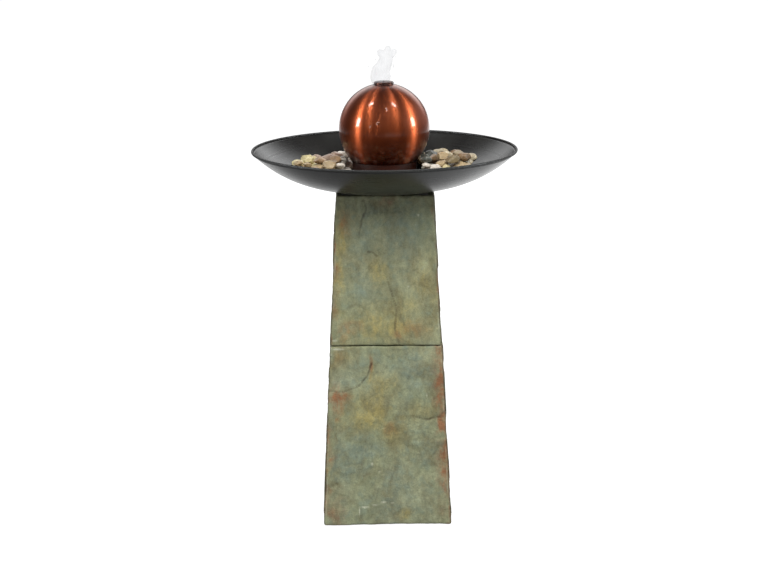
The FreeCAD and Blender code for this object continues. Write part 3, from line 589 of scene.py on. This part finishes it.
class SlabFace:
    """A grid over a slab's outer face: across from -1 to 1, up from 0 to 1, and x and z in metres."""

    def __init__(self, node, outward, seed):
        self.corners, self.thickness = face_corners(node, outward)
        self.normal = np.array(outward)
        self.seed = seed
        low_left, low_right, high_left, _ = self.corners
        self.half_width = 0.5 * np.linalg.norm(low_right - low_left)
        self.height = np.linalg.norm(high_left - low_left)
        self.columns = int(2 * self.half_width / SLATE_PITCH)
        self.rows = int(self.height / SLATE_PITCH)
        grid = np.meshgrid(np.linspace(-1, 1, self.columns + 1), np.linspace(0, 1, self.rows + 1))
        self.across, self.up = [values.ravel() for values in grid]
        self.side_edge = self.half_width - np.abs(self.across) * self.half_width
        self.edge = np.minimum(self.side_edge, np.minimum(self.up, 1 - self.up) * self.height)
        self.round_corners()
        self.flat = np.stack([self.x, np.full_like(self.x, seed * 0.37), self.z], axis=1)
        self.let_outline_wander()

    def round_corners(self):
        """Turns the square at each corner of the face into a quarter of a disc."""
        x, z = self.across * self.half_width, self.up * self.height
        inner_x = self.half_width - CORNER_ROUND
        inner_low, inner_high = CORNER_ROUND, self.height - CORNER_ROUND
        over_x = np.maximum(np.abs(x) - inner_x, 0.0) / CORNER_ROUND
        over_z = (np.maximum(z - inner_high, 0.0) - np.maximum(inner_low - z, 0.0)) / CORNER_ROUND
        in_corner = (over_x > 0) & (over_z != 0)
        round_x = np.sign(x) * (inner_x + CORNER_ROUND * over_x * np.sqrt(1 - over_z ** 2 / 2))
        nearest = np.where(over_z > 0, inner_high, inner_low)
        round_z = nearest + CORNER_ROUND * over_z * np.sqrt(1 - over_x ** 2 / 2)
        self.x = np.where(in_corner, round_x, x)
        self.z = np.where(in_corner, round_z, z)

    def let_outline_wander(self):
        """Shifts the points near the edge, so that the outline isn't straight."""
        near_edge = np.clip(1 - self.edge / (14 * MM), 0, 1) ** 2
        wander_x = self.layers(34 * MM, 3, 3) - 0.25
        wander_z = np.clip(self.layers(30 * MM, 5, 3) * 1.3 * MM, -1.2 * MM, 0.5 * MM)
        self.x = self.x + near_edge * 1.5 * MM * wander_x * np.sign(self.x)
        self.z = self.z + near_edge * wander_z * np.where(self.up > 0.5, 1, -1)

    def layers(self, size, pattern, octaves, gain=0.5):
        """Layered noise over the face, with lumps of up to a size; each pattern number gives its own."""
        return fractal(self.flat / np.array(size), self.seed + pattern, octaves, gain)

    def points(self, x, z, depth):
        """The points in space for places on the face and depths behind it."""
        low_left, low_right, high_left, high_right = self.corners
        share = np.clip(z / self.height, -0.02, 1.02)[:, None]
        middle = (low_left + low_right) / 2 * (1 - share) + (high_left + high_right) / 2 * share
        narrow = 1 + (np.linalg.norm(high_right - high_left) / (2 * self.half_width) - 1) * share[:, 0]
        along = (low_right - low_left) / (2 * self.half_width)
        return middle + along * (x * narrow)[:, None] - self.normal * depth[:, None]


def distance_to_curve(face, curve):
    """Distance in metres from each point of a face to a curve through a few points of it."""
    route = np.array(curve)
    knots = np.linspace(0, 1, len(route))
    fine = np.linspace(0, 1, 40)
    x = np.interp(fine, knots, route[:, 0]) * face.half_width
    z = np.interp(fine, knots, route[:, 1]) * face.height
    kernel = np.array([1, 2, 3, 2, 1]) / 9.0
    x[2:-2] = np.convolve(x, kernel, "valid")
    z[2:-2] = np.convolve(z, kernel, "valid")
    away = np.full(len(face.across), 1.0)
    for at_x, at_z in zip(x, z):
        away = np.minimum(away, np.hypot(face.across * face.half_width - at_x, face.up * face.height - at_z))
    return away


def cleft_line(face, curve):
    """How deep a cleft is at each point, from 0 to 1: an uneven line along a curve."""
    away = distance_to_curve(face, curve) + 0.8 * MM * face.layers(7 * MM, 29, 1)
    return smoothstep(3.6 * MM, 0.2 * MM, away) * (0.62 + 0.38 * face.layers(18 * MM, 30, 1))


def slate_relief(face):
    """How proud the split face is at each point, in metres, and how near the point is to a leaf's ledge."""
    bent = 0.5 * face.layers(45 * MM, 13, 2)[:, None]
    steps = LEAVES * fractal(face.flat / np.array([95 * MM, 1, 60 * MM]) + bent, face.seed + 17, 4)
    past = steps - np.floor(steps)
    terrace = np.floor(steps) + smoothstep(0.35, 0.65, past)
    broad = 1.3 * MM * face.layers(110 * MM, 11, 2)
    ripple = 0.22 * MM * face.layers([9 * MM, 1, 22 * MM], 19, 3)
    grain = 0.10 * MM * face.layers(3.2 * MM, 23, 1)
    ledge = smoothstep(0.12, 0.02, np.abs(past - 0.5))
    return broad + LEAF_STEP * terrace + ripple + grain, ledge


def painted_cleft_shade(face, lines, ledge):
    """Painted shade: dark in the clefts, along some ledges and at the side edges."""
    mask = np.zeros(len(face.x))
    for line in lines:
        mask = np.maximum(mask, 0.85 * line)
    mask = np.maximum(mask, 0.22 * ledge * smoothstep(-0.2, 0.4, face.layers(50 * MM, 31, 2)))
    return np.maximum(mask, 0.8 * smoothstep(2.6 * MM, 0.6 * MM, face.side_edge))


def patch_masks(face, patches, blur):
    """One mask for each kind of patch, with broken outlines, and rust along parts of the edge."""
    drift = face.layers(40 * MM, 39, 3)
    masks = {}
    for name, spots in patches.items():
        mask = np.zeros(len(face.x))
        for at_across, at_up, reach_across, reach_up, strength in spots:
            off_across = (face.across + 0.10 * drift - at_across) / reach_across
            off_up = (face.up + 0.06 * drift - at_up) / reach_up
            away = np.hypot(off_across, off_up)
            mask = np.maximum(mask, strength * smoothstep(1.9, -0.3, away + 1.7 * blur))
        masks[name] = mask
    edge_rust = smoothstep(7 * MM, 0.5 * MM, face.edge) * smoothstep(0.0, 0.5, face.layers(38 * MM, 47, 3))
    masks["rust"] = np.maximum(masks["rust"], 0.8 * edge_rust * (np.abs(face.across) > 0.9))
    return masks


def pale_mask(face, flecks, blur, fall):
    """Pale flecks, pale chips at the edge, and a broken pale line near each side edge, which is a painted
    highlight.
    """
    mask = np.zeros(len(face.x))
    for at_across, at_up, reach_across, reach_up in flecks:
        away = np.hypot((face.across - at_across) / reach_across, (face.up - at_up) / reach_up)
        mask = np.maximum(mask, smoothstep(1.3, 0.4, away + blur))
    mask = np.maximum(mask, 0.5 * smoothstep(0.45, 0.8, fall) * (face.layers(9 * MM, 53, 1) > 0.45))
    # Painted highlight: a broken pale line from 2 to 6 mm in from each side edge.
    arris_highlight = smoothstep(2.0 * MM, 3.2 * MM, face.side_edge) * smoothstep(6.0 * MM, 4.2 * MM, face.side_edge)
    broken = smoothstep(-0.15, 0.35, face.layers([14 * MM, 1, 40 * MM], 55, 3))
    return np.maximum(mask, 0.62 * arris_highlight * broken)


def slab_mesh(face, depth, masks):
    """The slab's points and faces, from its split face round its rough rim to its back, and its masks."""
    grid = np.arange((face.rows + 1) * (face.columns + 1)).reshape(face.rows + 1, face.columns + 1)
    squares = np.stack([grid[:-1, :-1], grid[:-1, 1:], grid[1:, 1:], grid[1:, :-1]], axis=-1)
    faces = [tuple(square) for square in squares.reshape(-1, 4).tolist()]
    vertices = [face.points(face.x, face.z, depth)]
    values = {name: [mask] for name, mask in masks.items()}
    ring = np.concatenate([grid[0, :], grid[1:, -1], grid[-1, -2::-1], grid[-2:0:-1, 0]])
    count = len(ring)
    x, z, across, up = face.x[ring], face.z[ring], face.across[ring], face.up[ring]
    turn_x = np.sign(x) * (np.abs(across) > 0.999)
    turn_z = np.where(up > 0.999, 1.0, np.where(up < 0.001, -1.0, 0.0))
    last = ring.tolist()
    total = len(face.x)
    for share in RIM_SHARES:
        rim_depth = depth[ring] + (face.thickness - depth[ring]) * share
        at = np.stack([x, rim_depth, z], axis=1)
        rough = np.zeros(count)
        if share < 1:
            rough = 0.45 * MM * fractal(at / (7 * MM), face.seed + 59, 3) - 0.25 * MM
        vertices.append(face.points(x + rough * turn_x, z + rough * turn_z, rim_depth))
        stain = smoothstep(0.0, 0.6, fractal(at / (30 * MM), face.seed + 61, 3))
        for name, store in values.items():
            store.append(0.7 * stain if name == "rust" else 0.6 * masks[name][ring])
        new = list(range(total, total + count))
        for k in range(count):
            n = (k + 1) % count
            faces.append((last[n], last[k], new[k], new[n]))
        last = new
        total += count
    vertices.append(face.points(np.zeros(1), np.array([face.height / 2]), np.array([face.thickness])))
    for k in range(count):
        faces.append((last[(k + 1) % count], last[k], total))
    for store in values.values():
        store.append(np.zeros(1))
    return np.concatenate(vertices), faces, {name: np.concatenate(store) for name, store in values.items()}


def slate_slab(node, side, level, seed):
    """One slab of split slate, with its cleft face, rough edges and rounded corners."""
    face = SlabFace(node, Vector(SIDES[side]), seed)
    patches, clefts, flecks = slab_marks(side, level, seed)
    lines = [cleft_line(face, curve) for curve in clefts]
    relief, ledge = slate_relief(face)
    for line in lines:
        relief -= CLEFT_DEPTH * line

    # Chipped arris: the face falls back unevenly at its edge.
    chip = CHIP_REACH * (1 + 0.9 * face.layers(16 * MM, 37, 3))
    fall = np.clip(1 - face.edge / np.maximum(chip, 1 * MM), 0, 1)
    depth = np.clip(-relief + CHIP_DEPTH * fall ** 1.6, -MOST_PROUD, MOST_SUNK)

    blur = 0.60 * face.layers([20 * MM, 1, 30 * MM], 41, 5, 0.65)
    # Painted shade in the clefts, along some ledges and at the side edges.
    masks = {"cleft": painted_cleft_shade(face, lines, ledge)}
    masks.update(patch_masks(face, patches, blur))
    # Pale flecks and chips, with a painted highlight near the side edges.
    masks["pale"] = pale_mask(face, flecks, blur, fall)
    vertices, faces, values = slab_mesh(face, depth, masks)
    piece = make_piece("stone_" + node, vertices, faces, materials["slate"])
    for name, mask in values.items():
        add_attribute(piece.data, name, mask)
    place(piece, "root", node)


for number, side in enumerate(SIDES):
    for step, level in enumerate(("lower", "upper")):
        slate_slab("slate_%s_%s" % (side, level), side, level, SLATE_SEED + 17 * number + 7 * step)


# ---------------- bowl

BOWL_SEGMENTS = 224
BOWL_WALL = 2.5 * MM
BOWL_HOLE_R = 10.3 * MM
BASE_R = gasket_high.x + 1.0 * MM
BEAD_R = 2.4 * MM
BEAD_Z = bowl_high.z - BEAD_R
# The wall is an arc that is tangent to the base, and its middle runs into the rim's bead.
wall_reach = RIM_R - BEAD_R - BASE_R
wall_rise = BEAD_Z - bowl_low.z - BOWL_WALL / 2
WALL_R = (wall_reach ** 2 + wall_rise ** 2) / (2 * wall_rise)
ARC_Z = bowl_low.z + BOWL_WALL / 2 + WALL_R
# Angles in degrees: the wall's slope at the bead, how far the bead wraps to each side of that, and how far
# short of the bead's middle the wall's arcs stop.
WALL_SLOPE = math.degrees(math.asin(wall_reach / WALL_R))
BEAD_WRAP = 152
WALL_SHORT = 0.35


def make_bowl():
    """The spun bowl with its rolled rim, and the hole that the standpipe passes."""
    centre = (BASE_R, ARC_Z)
    wall_end = WALL_SLOPE - 90 - WALL_SHORT
    outer = arc_points(centre, WALL_R + BOWL_WALL / 2, -90, wall_end, 44)
    bead = arc_points((RIM_R - BEAD_R, BEAD_Z), BEAD_R, WALL_SLOPE - BEAD_WRAP, WALL_SLOPE + BEAD_WRAP, 17)
    inner = arc_points(centre, WALL_R - BOWL_WALL / 2, wall_end, -90, 44)
    base_top = bowl_low.z + BOWL_WALL
    profile = [(BOWL_HOLE_R, bowl_low.z), (0.5 * BASE_R, bowl_low.z)] + outer + bead + inner
    profile += [(0.5 * BASE_R, base_top), (BOWL_HOLE_R, base_top)]
    vertices, faces = lathe(profile, BOWL_SEGMENTS)
    place(make_piece("spun_bowl", vertices, faces, materials["dark_metal"]), "root", "bowl")


make_bowl()


# ---------------- ball

BALL_WALL = 1.5 * MM
BALL_SEGMENTS = 288


def make_ball():
    """The copper shell, with the long soft flutes that running water and spinning leave on it."""
    opening = math.degrees(math.asin((ball_low.z - BALL_Z) / BALL_R))
    hole = math.degrees(math.acos(NOZZLE_HOLE_R / BALL_R))
    outer = arc_points((0, BALL_Z), BALL_R, opening, hole, 110)
    inner = arc_points((0, BALL_Z), BALL_R - BALL_WALL, hole, opening, 40)
    vertices, faces = lathe(outer + inner, BALL_SEGMENTS)
    turn = np.arctan2(vertices[:, 1], vertices[:, 0])
    level = (vertices[:, 2] - BALL_Z) / BALL_R
    around = np.stack([np.cos(turn) * 2.3, np.sin(turn) * 2.3, level * 0.45], axis=1)
    flutes = 0.30 * MM * noise(around, 5) + 0.12 * MM * noise(around * 2.1, 6)
    # The flutes fade out near both openings, and only the outside has them.
    fade = smoothstep(1.0, 0.85, level) * smoothstep(-0.75, -0.5, level)
    fade[len(outer) * BALL_SEGMENTS:] = 0
    vertices[:, :2] *= (1 + (flutes - 0.2 * MM) * fade / BALL_R)[:, None]
    place(make_piece("copper_ball", vertices, faces, materials["copper"]), "ball", "ball_shell")


make_ball()


# ---------------- river stones

CREAM, TAN, BROWN = srgb(206, 194, 146), srgb(180, 158, 120), srgb(148, 122, 92)
PINK, WHITE, GREY = srgb(160, 138, 122), srgb(222, 215, 202), srgb(116, 110, 102)
DARK, OLIVE, BEIGE = srgb(72, 78, 72), srgb(136, 120, 88), srgb(190, 178, 148)
# How often each tint is drawn where the bed's look isn't known, and how often a stone is banded.
STONE_TINTS = (2 * [CREAM] + 5 * [TAN] + 5 * [BROWN] + 3 * [PINK] + [WHITE] + 3 * [GREY] + 2 * [DARK]
               + 3 * [OLIVE] + 3 * [BEIGE])
BANDED_SHARE = 0.06
STONE_TILT = math.radians(8)
# Each stone's size over its CAD lump's, to make up for the flats worn on it.
STONE_GROWTH = np.array([1.05, 1.05, 1.03])
STONE_SEED = 7
STONE_SHAPE_SEED = 1000
# Where the look of the bed is known: the place and its reach in millimetres, the stones' tint, and banding.
STONE_ZONES = [
    (-153, 30, 48, CREAM, 0), (-150, -45, 30, TAN, 0), (-133, 70, 30, PINK, 0), (-118, -15, 22, BROWN, 0),
    (-98, 30, 26, PINK, 0), (-84, 80, 20, WHITE, 0), (-93, -23, 12, BROWN, 0), (-104, -60, 12, TAN, 0),
    (-78, 0, 20, GREY, 1), (-82, -46, 14, WHITE, 0), (-78, 26, 8, WHITE, 0), (80, 45, 24, DARK, 0),
    (79, -26, 12, DARK, 1), (79, -52, 14, WHITE, 0), (93, 0, 12, BROWN, 0), (109, -23, 10, TAN, 0),
    (112, 95, 32, BEIGE, 0), (120, 20, 12, BEIGE, 0), (141, 0, 14, OLIVE, 0), (128, -52, 10, OLIVE, 0),
    (108, -45, 8, TAN, 0), (152, -28, 10, BROWN, 0), (162, 5, 24, BEIGE, 0), (95, -88, 12, WHITE, 0),
    (148, -46, 10, TAN, 0),
]


def islands(mesh):
    """The separate closed lumps of a mesh, each as an array of its points."""
    bm = bmesh.new()
    bm.from_mesh(mesh)
    bmesh.ops.remove_doubles(bm, verts=bm.verts, dist=1e-6)
    seen = set()
    found = []
    for start in bm.verts:
        if start.index in seen:
            continue
        stack, lump = [start], []
        seen.add(start.index)
        while stack:
            vertex = stack.pop()
            lump.append(vertex.co[:])
            for edge in vertex.link_edges:
                other = edge.other_vert(vertex)
                if other.index not in seen:
                    seen.add(other.index)
                    stack.append(other)
        found.append(np.array(lump))
    bm.free()
    return found


def ball_grid(level):
    """The points and faces of a unit ball of even triangles."""
    bm = bmesh.new()
    bmesh.ops.create_icosphere(bm, subdivisions=level, radius=1.0)
    points = np.array([v.co[:] for v in bm.verts])
    faces = [tuple(v.index for v in f.verts) for f in bm.faces]
    bm.free()
    return points, faces


def stone_shape(sphere, draw, seed):
    """A worn stone that fills one unit each way from its middle: a lumpy ball with a few flats on it."""
    lumps = 0.11 * noise(sphere * 1.3 + 5, seed) + 0.045 * noise(sphere * 3.1, seed + 1)
    shape = sphere * (1 + lumps + 0.010 * noise(sphere * 9, seed + 2))[:, None]
    for _ in range(draw.randint(4, 9)):
        facing = np.array(Vector([draw.gauss(0, 1) for _ in range(3)]).normalized())
        over = np.maximum(shape @ facing - draw.uniform(0.52, 0.84), 0.0)
        shape -= 0.88 * over[:, None] * facing
    return shape / np.abs(shape).max(axis=0)


def measure_lump(lump):
    """A CAD stone's middle, its half sizes along its own axes, and its turn about the Z axis."""
    low, high = lump.min(axis=0), lump.max(axis=0)
    spread = lump - lump.mean(axis=0)
    squares = (spread[:, 0] ** 2).mean() - (spread[:, 1] ** 2).mean()
    yaw = 0.5 * math.atan2(2 * (spread[:, 0] * spread[:, 1]).mean(), squares)
    turned = spread[:, :2] @ np.array([[math.cos(yaw), -math.sin(yaw)], [math.sin(yaw), math.cos(yaw)]])
    half = np.array([np.ptp(turned[:, 0]) / 2, np.ptp(turned[:, 1]) / 2, (high[2] - low[2]) / 2])
    return (low + high) / 2, half, yaw


def make_stones():
    """Each river stone in the place of its CAD lump, with a shape, tint and lie of its own."""
    sphere, sphere_faces = ball_grid(4)
    count = len(sphere)
    draw = random.Random(STONE_SEED)
    heaps = {"left": [], "right": []}
    for number, lump in enumerate(islands(nodes["river_pebbles"].data)):
        centre, half, yaw = measure_lump(lump)
        stone = stone_shape(sphere, draw, STONE_SHAPE_SEED + 7 * number) * half * STONE_GROWTH
        tilt_x = Matrix.Rotation(draw.uniform(-STONE_TILT, STONE_TILT), 3, "X")
        tilt_y = Matrix.Rotation(draw.uniform(-STONE_TILT, STONE_TILT), 3, "Y")
        lie = np.array(Matrix.Rotation(yaw, 3, "Z") @ tilt_x @ tilt_y)
        tint = draw.choice(STONE_TINTS)
        banding = int(draw.random() < BANDED_SHARE)
        for x, y, reach, zone_tint, zone_banding in reversed(STONE_ZONES):
            if math.hypot(centre[0] - x * MM, centre[1] - y * MM) < reach * MM:
                tint, banding = zone_tint, zone_banding
        shade = draw.uniform(0.85, 1.15)
        colour = [c * shade for c in tint[:3]] + [1.0]
        side = "left" if centre[0] < 0 else "right"
        heaps[side].append((stone @ lie.T + centre, colour, banding))
    for side, stones in heaps.items():
        points, colours, bandings = zip(*stones)
        faces = [tuple(i + k * count for i in f) for k in range(len(stones)) for f in sphere_faces]
        piece = make_piece("river_stones_" + side, np.concatenate(points), faces, materials["river_stone"])
        add_attribute(piece.data, "stone_tint", np.repeat(colours, count, axis=0), "FLOAT_COLOR", "color")
        add_attribute(piece.data, "banding", np.repeat(bandings, count))
        place(piece, "root", "river_pebbles")


make_stones()


# ---------------- water

# The column's middle and half width at heights above the nozzle, where it forks (across, up), and its tongues
# (the tip across and up, and its size), all in millimetres.
JET_HEIGHTS = (0, 8, 22, 34, 47, 56)
JET_MIDDLES = (-4, -6, -4, 1, 5, 7)
JET_HALVES = (20, 22, 20, 17, 14, 13)
JET_FORK = np.array([6.0, 42.0])
JET_TONGUES = ((-7.0, 55.0, 6.4), (8.0, 61.5, 6.4), (20.0, 56.0, 6.0))
JET_VOXEL = 1.0 * MM
JET_SMOOTHING = 40
DROPS = 10
DROP_GAP = 0.2 * MM
JET_SEED = 11


def jet_at(height):
    """The column's middle and half width at a height, in millimetres."""
    return np.interp(height, JET_HEIGHTS, JET_MIDDLES), np.interp(height, JET_HEIGHTS, JET_HALVES)


def jet_point(x, y, z):
    """The place for millimetres across, along and above the nozzle."""
    return Vector((x * MM, y * MM, jet_low.z + z * MM))


def add_blob(bm, at, radius, tall, level=3):
    """Adds a ball, stretched upwards, at a place in metres; its radius is in millimetres."""
    size = Matrix.Diagonal((radius * MM, radius * MM, radius * tall * MM, 1.0))
    bmesh.ops.create_icosphere(bm, subdivisions=level, radius=1.0, matrix=Matrix.Translation(at) @ size)


def add_column(bm, draw):
    """The standing water and its tongues, as blobs that run into each other."""
    for z in np.arange(6.0, 52.0, 2.0):
        middle, half = jet_at(z)
        add_blob(bm, jet_point(middle, 0, z), 0.76 * half, 1.1)
        turn = draw.uniform(0, 2 * math.pi)
        x, y = middle + 0.42 * half * math.cos(turn), 0.42 * half * math.sin(turn)
        add_blob(bm, jet_point(x, y, z), 0.52 * half, 1.3)
    for tip_x, tip_z, size in JET_TONGUES:
        for t in np.linspace(0, 1, 12):
            x, z = JET_FORK + (np.array([tip_x, tip_z]) - JET_FORK) * t
            add_blob(bm, jet_point(x, 0, z), size, 1.1)


def add_drops(bm, draw):
    """Drops at the column's left and right, clear of it and of each other."""
    tree = BVHTree.FromBMesh(bm)
    placed = []
    while len(placed) < DROPS:
        z = draw.uniform(24, 62)
        turn = draw.choice((0, math.pi)) + draw.uniform(-0.6, 0.6)
        middle, half = jet_at(z)
        off = half * draw.triangular(0.9, 1.6, 1.1)
        at = jet_point(middle + off * math.cos(turn), off * math.sin(turn), z)
        radius = draw.uniform(0.6, 1.5)
        tall = draw.uniform(1.1, 2.0)
        reach = radius * tall * MM
        nearest, facing, _, away = tree.find_nearest(at)
        if away < reach + DROP_GAP or (at - nearest).dot(facing) < 0:
            continue
        if any((at - other).length < reach + other_reach for other, other_reach in placed):
            continue
        placed.append((at, reach))
        add_blob(bm, at, radius, tall, level=2)


def make_jet():
    """The water above the nozzle: a soft column that leans a little, with a few drops beside it."""
    draw = random.Random(JET_SEED)
    bm = bmesh.new()
    add_column(bm, draw)
    mesh = bpy.data.meshes.new("standing_water")
    bm.to_mesh(mesh)
    bm.free()
    piece = bpy.data.objects.new("standing_water", mesh)
    bpy.context.scene.collection.objects.link(piece)
    remesh = piece.modifiers.new("remesh", "REMESH")
    remesh.mode = "VOXEL"
    remesh.voxel_size = JET_VOXEL
    piece.modifiers.new("soften", "SMOOTH").iterations = JET_SMOOTHING
    column = bpy.data.meshes.new_from_object(piece.evaluated_get(bpy.context.evaluated_depsgraph_get()))
    piece.modifiers.clear()

    bm = bmesh.new()
    bm.from_mesh(column)
    add_drops(bm, draw)
    bm.to_mesh(column)
    bm.free()
    piece.data = column
    column.materials.append(materials["water"])
    column.polygons.foreach_set("use_smooth", [True] * len(column.polygons))
    place(piece, "ball", "water_jet")


make_jet()


# ---------------- CAD pieces that stay

replaced = {"bowl", "ball_shell", "river_pebbles", "water_jet"}
replaced.update(name for name in nodes if name.startswith("slate_"))
slot_of = {row["node"]: row["material_slot"] for row in frame["record"]["subparts"]}
for name, piece in nodes.items():
    if name not in replaced:
        piece.data.materials.clear()
        piece.data.materials.append(materials[slot_of[name]])


# ---------------- floor, light and camera

FLOOR_REACH = 12.0
FILL_LIGHT = 0.27
# How bright the floor's own glow is to the camera and as fill light.
FLOOR_SEEN, FLOOR_FILL = 0.95, 0.12
# Lamps that make glints, all turned to the ball: place, width, height and power.
GLINT_LAMPS = {
    "left_side": ((-2.05, -0.62, 1.36), 0.36, 0.62, 28),
    "right_side": ((2.10, -0.35, 1.30), 0.40, 0.66, 26),
    "left_top": ((-0.85, -0.354, 2.53), 0.07, 0.30, 9),
    "right_top": ((0.67, -0.58, 2.55), 0.10, 0.34, 9),
    "left_glint": ((-1.11, -1.61, 1.19), 0.05, 0.12, 0.8),
    "front_glint": ((-0.47, -1.81, 1.45), 0.05, 0.16, 1.0),
    "middle_top": ((0.20, -1.10, 2.40), 0.05, 0.30, 1.2),
}
# Lamps that light matt surfaces, turned to the pedestal.
MATT_LAMPS = {
    "overhead": ((0.0, -3.60, 4.45), 4.4, 3.1, 362),
    "rear_fill": ((0.9, 3.6, 2.3), 2.6, 2.0, 120),
}
MATT_FOCUS = Vector((0.0, 0.0, 0.35))
BALL_FOCUS = Vector((0.0, 0.0, BALL_Z))
CAMERA_PLACE = (-0.003, -4.0, 1.343)
CAMERA_LENS = 99.3
SENSOR_WIDTH = 36.0
CAMERA_DOWN = math.radians(12.69)
CAMERA_ROLL = math.radians(-0.5)


def add_floor():
    """A plain pale floor: white to look at, dim as fill light, and darker under the object in reflections."""
    m = Shader("pale_floor")
    m.put("Base Color", (0.26, 0.26, 0.26, 1.0))
    m.put("Roughness", 1.0)
    m.put("Specular IOR Level", 0.0)
    m.put("Emission Color", WHITE_LIGHT)
    ray = m.node("ShaderNodeLightPath").outputs
    across, along, _ = m.split(m.position)
    mirrored = m.plus(m.ramp(along, 0.42, 1.4, 0.02, 0.82), m.ramp(across, 0.0, 0.45, 0.0, 0.46))
    mirrored = m.times(mirrored, m.ramp(across, -5.0, -2.0, 0.1, 1.0))
    mirrored = m.times(mirrored, m.ramp(across, 2.0, 5.0, 1.0, 0.2))
    strength = m.times(ray["Is Glossy Ray"], mirrored)
    strength = m.plus(strength, m.times(ray["Is Camera Ray"], FLOOR_SEEN))
    strength = m.plus(strength, m.times(ray["Is Diffuse Ray"], FLOOR_FILL))
    m.put("Emission Strength", strength)
    corners = [(x * FLOOR_REACH, y * FLOOR_REACH, 0.0) for x, y in ((-1, -1), (1, -1), (1, 1), (-1, 1))]
    make_piece("floor", corners, [(0, 1, 2, 3)], m.material, smooth=False)


def add_world():
    """A pale studio: white to look at, even as fill light, bright behind and at the right in reflections."""
    world = bpy.data.worlds.new("studio")
    bpy.context.scene.world = world
    world.use_nodes = True
    w = Wiring(world.node_tree)
    x, y, z = w.split(w.node("ShaderNodeTexCoord").outputs["Generated"])
    window = w.times(w.ramp(y, 0.62, 0.84, 0.0, 1.7), w.ramp(z, 0.08, 0.30))
    window = w.times(window, w.ramp(x, -0.5, 0.5, 0.75, 1.15))
    right = w.times(w.ramp(x, 0.66, 0.92, 0.03, 0.62), w.ramp(z, -0.05, 0.30, 0.3, 1.0))
    ceiling = w.times(w.ramp(y, 0.2, -0.4, 0.02, 0.13), w.ramp(z, 0.1, 0.6))
    mirrored = w.plus(w.plus(window, right), ceiling)
    ray = w.node("ShaderNodeLightPath").outputs
    strength = w.mix(ray["Is Glossy Ray"], 1.0, mirrored, kind="FLOAT")
    strength = w.mix(ray["Is Diffuse Ray"], strength, FILL_LIGHT, kind="FLOAT")
    back = w.tree.nodes["Background"]
    w.feed(back.inputs["Strength"], strength)
    w.feed(back.inputs["Color"], WHITE_LIGHT)


def add_lamp(name, place_at, width, height, power, focus, mirrored):
    """A soft lamp that either makes glints, or lights matt surfaces and isn't mirrored."""
    light = bpy.data.lights.new(name, "AREA")
    light.shape = "RECTANGLE"
    light.size = width
    light.size_y = height
    light.energy = power
    lamp = bpy.data.objects.new(name, light)
    bpy.context.scene.collection.objects.link(lamp)
    lamp.location = place_at
    lamp.rotation_euler = (focus - Vector(place_at)).to_track_quat("-Z", "Y").to_euler()
    lamp.visible_glossy = mirrored
    lamp.visible_diffuse = not mirrored


def add_camera():
    """A long lens from the front, four metres off and well above the bowl."""
    camera = bpy.data.cameras.new("camera")
    camera.lens = CAMERA_LENS
    camera.sensor_width = SENSOR_WIDTH
    holder = bpy.data.objects.new("camera", camera)
    bpy.context.scene.collection.objects.link(holder)
    pitch = Matrix.Rotation(math.radians(90) - CAMERA_DOWN, 4, "X")
    roll = Matrix.Rotation(CAMERA_ROLL, 4, "Z")
    holder.matrix_world = Matrix.Translation(CAMERA_PLACE) @ pitch @ roll
    bpy.context.scene.camera = holder


add_floor()
add_world()
for name, row in GLINT_LAMPS.items():
    add_lamp(name, *row, BALL_FOCUS, mirrored=True)
for name, row in MATT_LAMPS.items():
    add_lamp(name, *row, MATT_FOCUS, mirrored=False)
add_camera()
bpy.context.scene.view_settings.view_transform = "Standard"
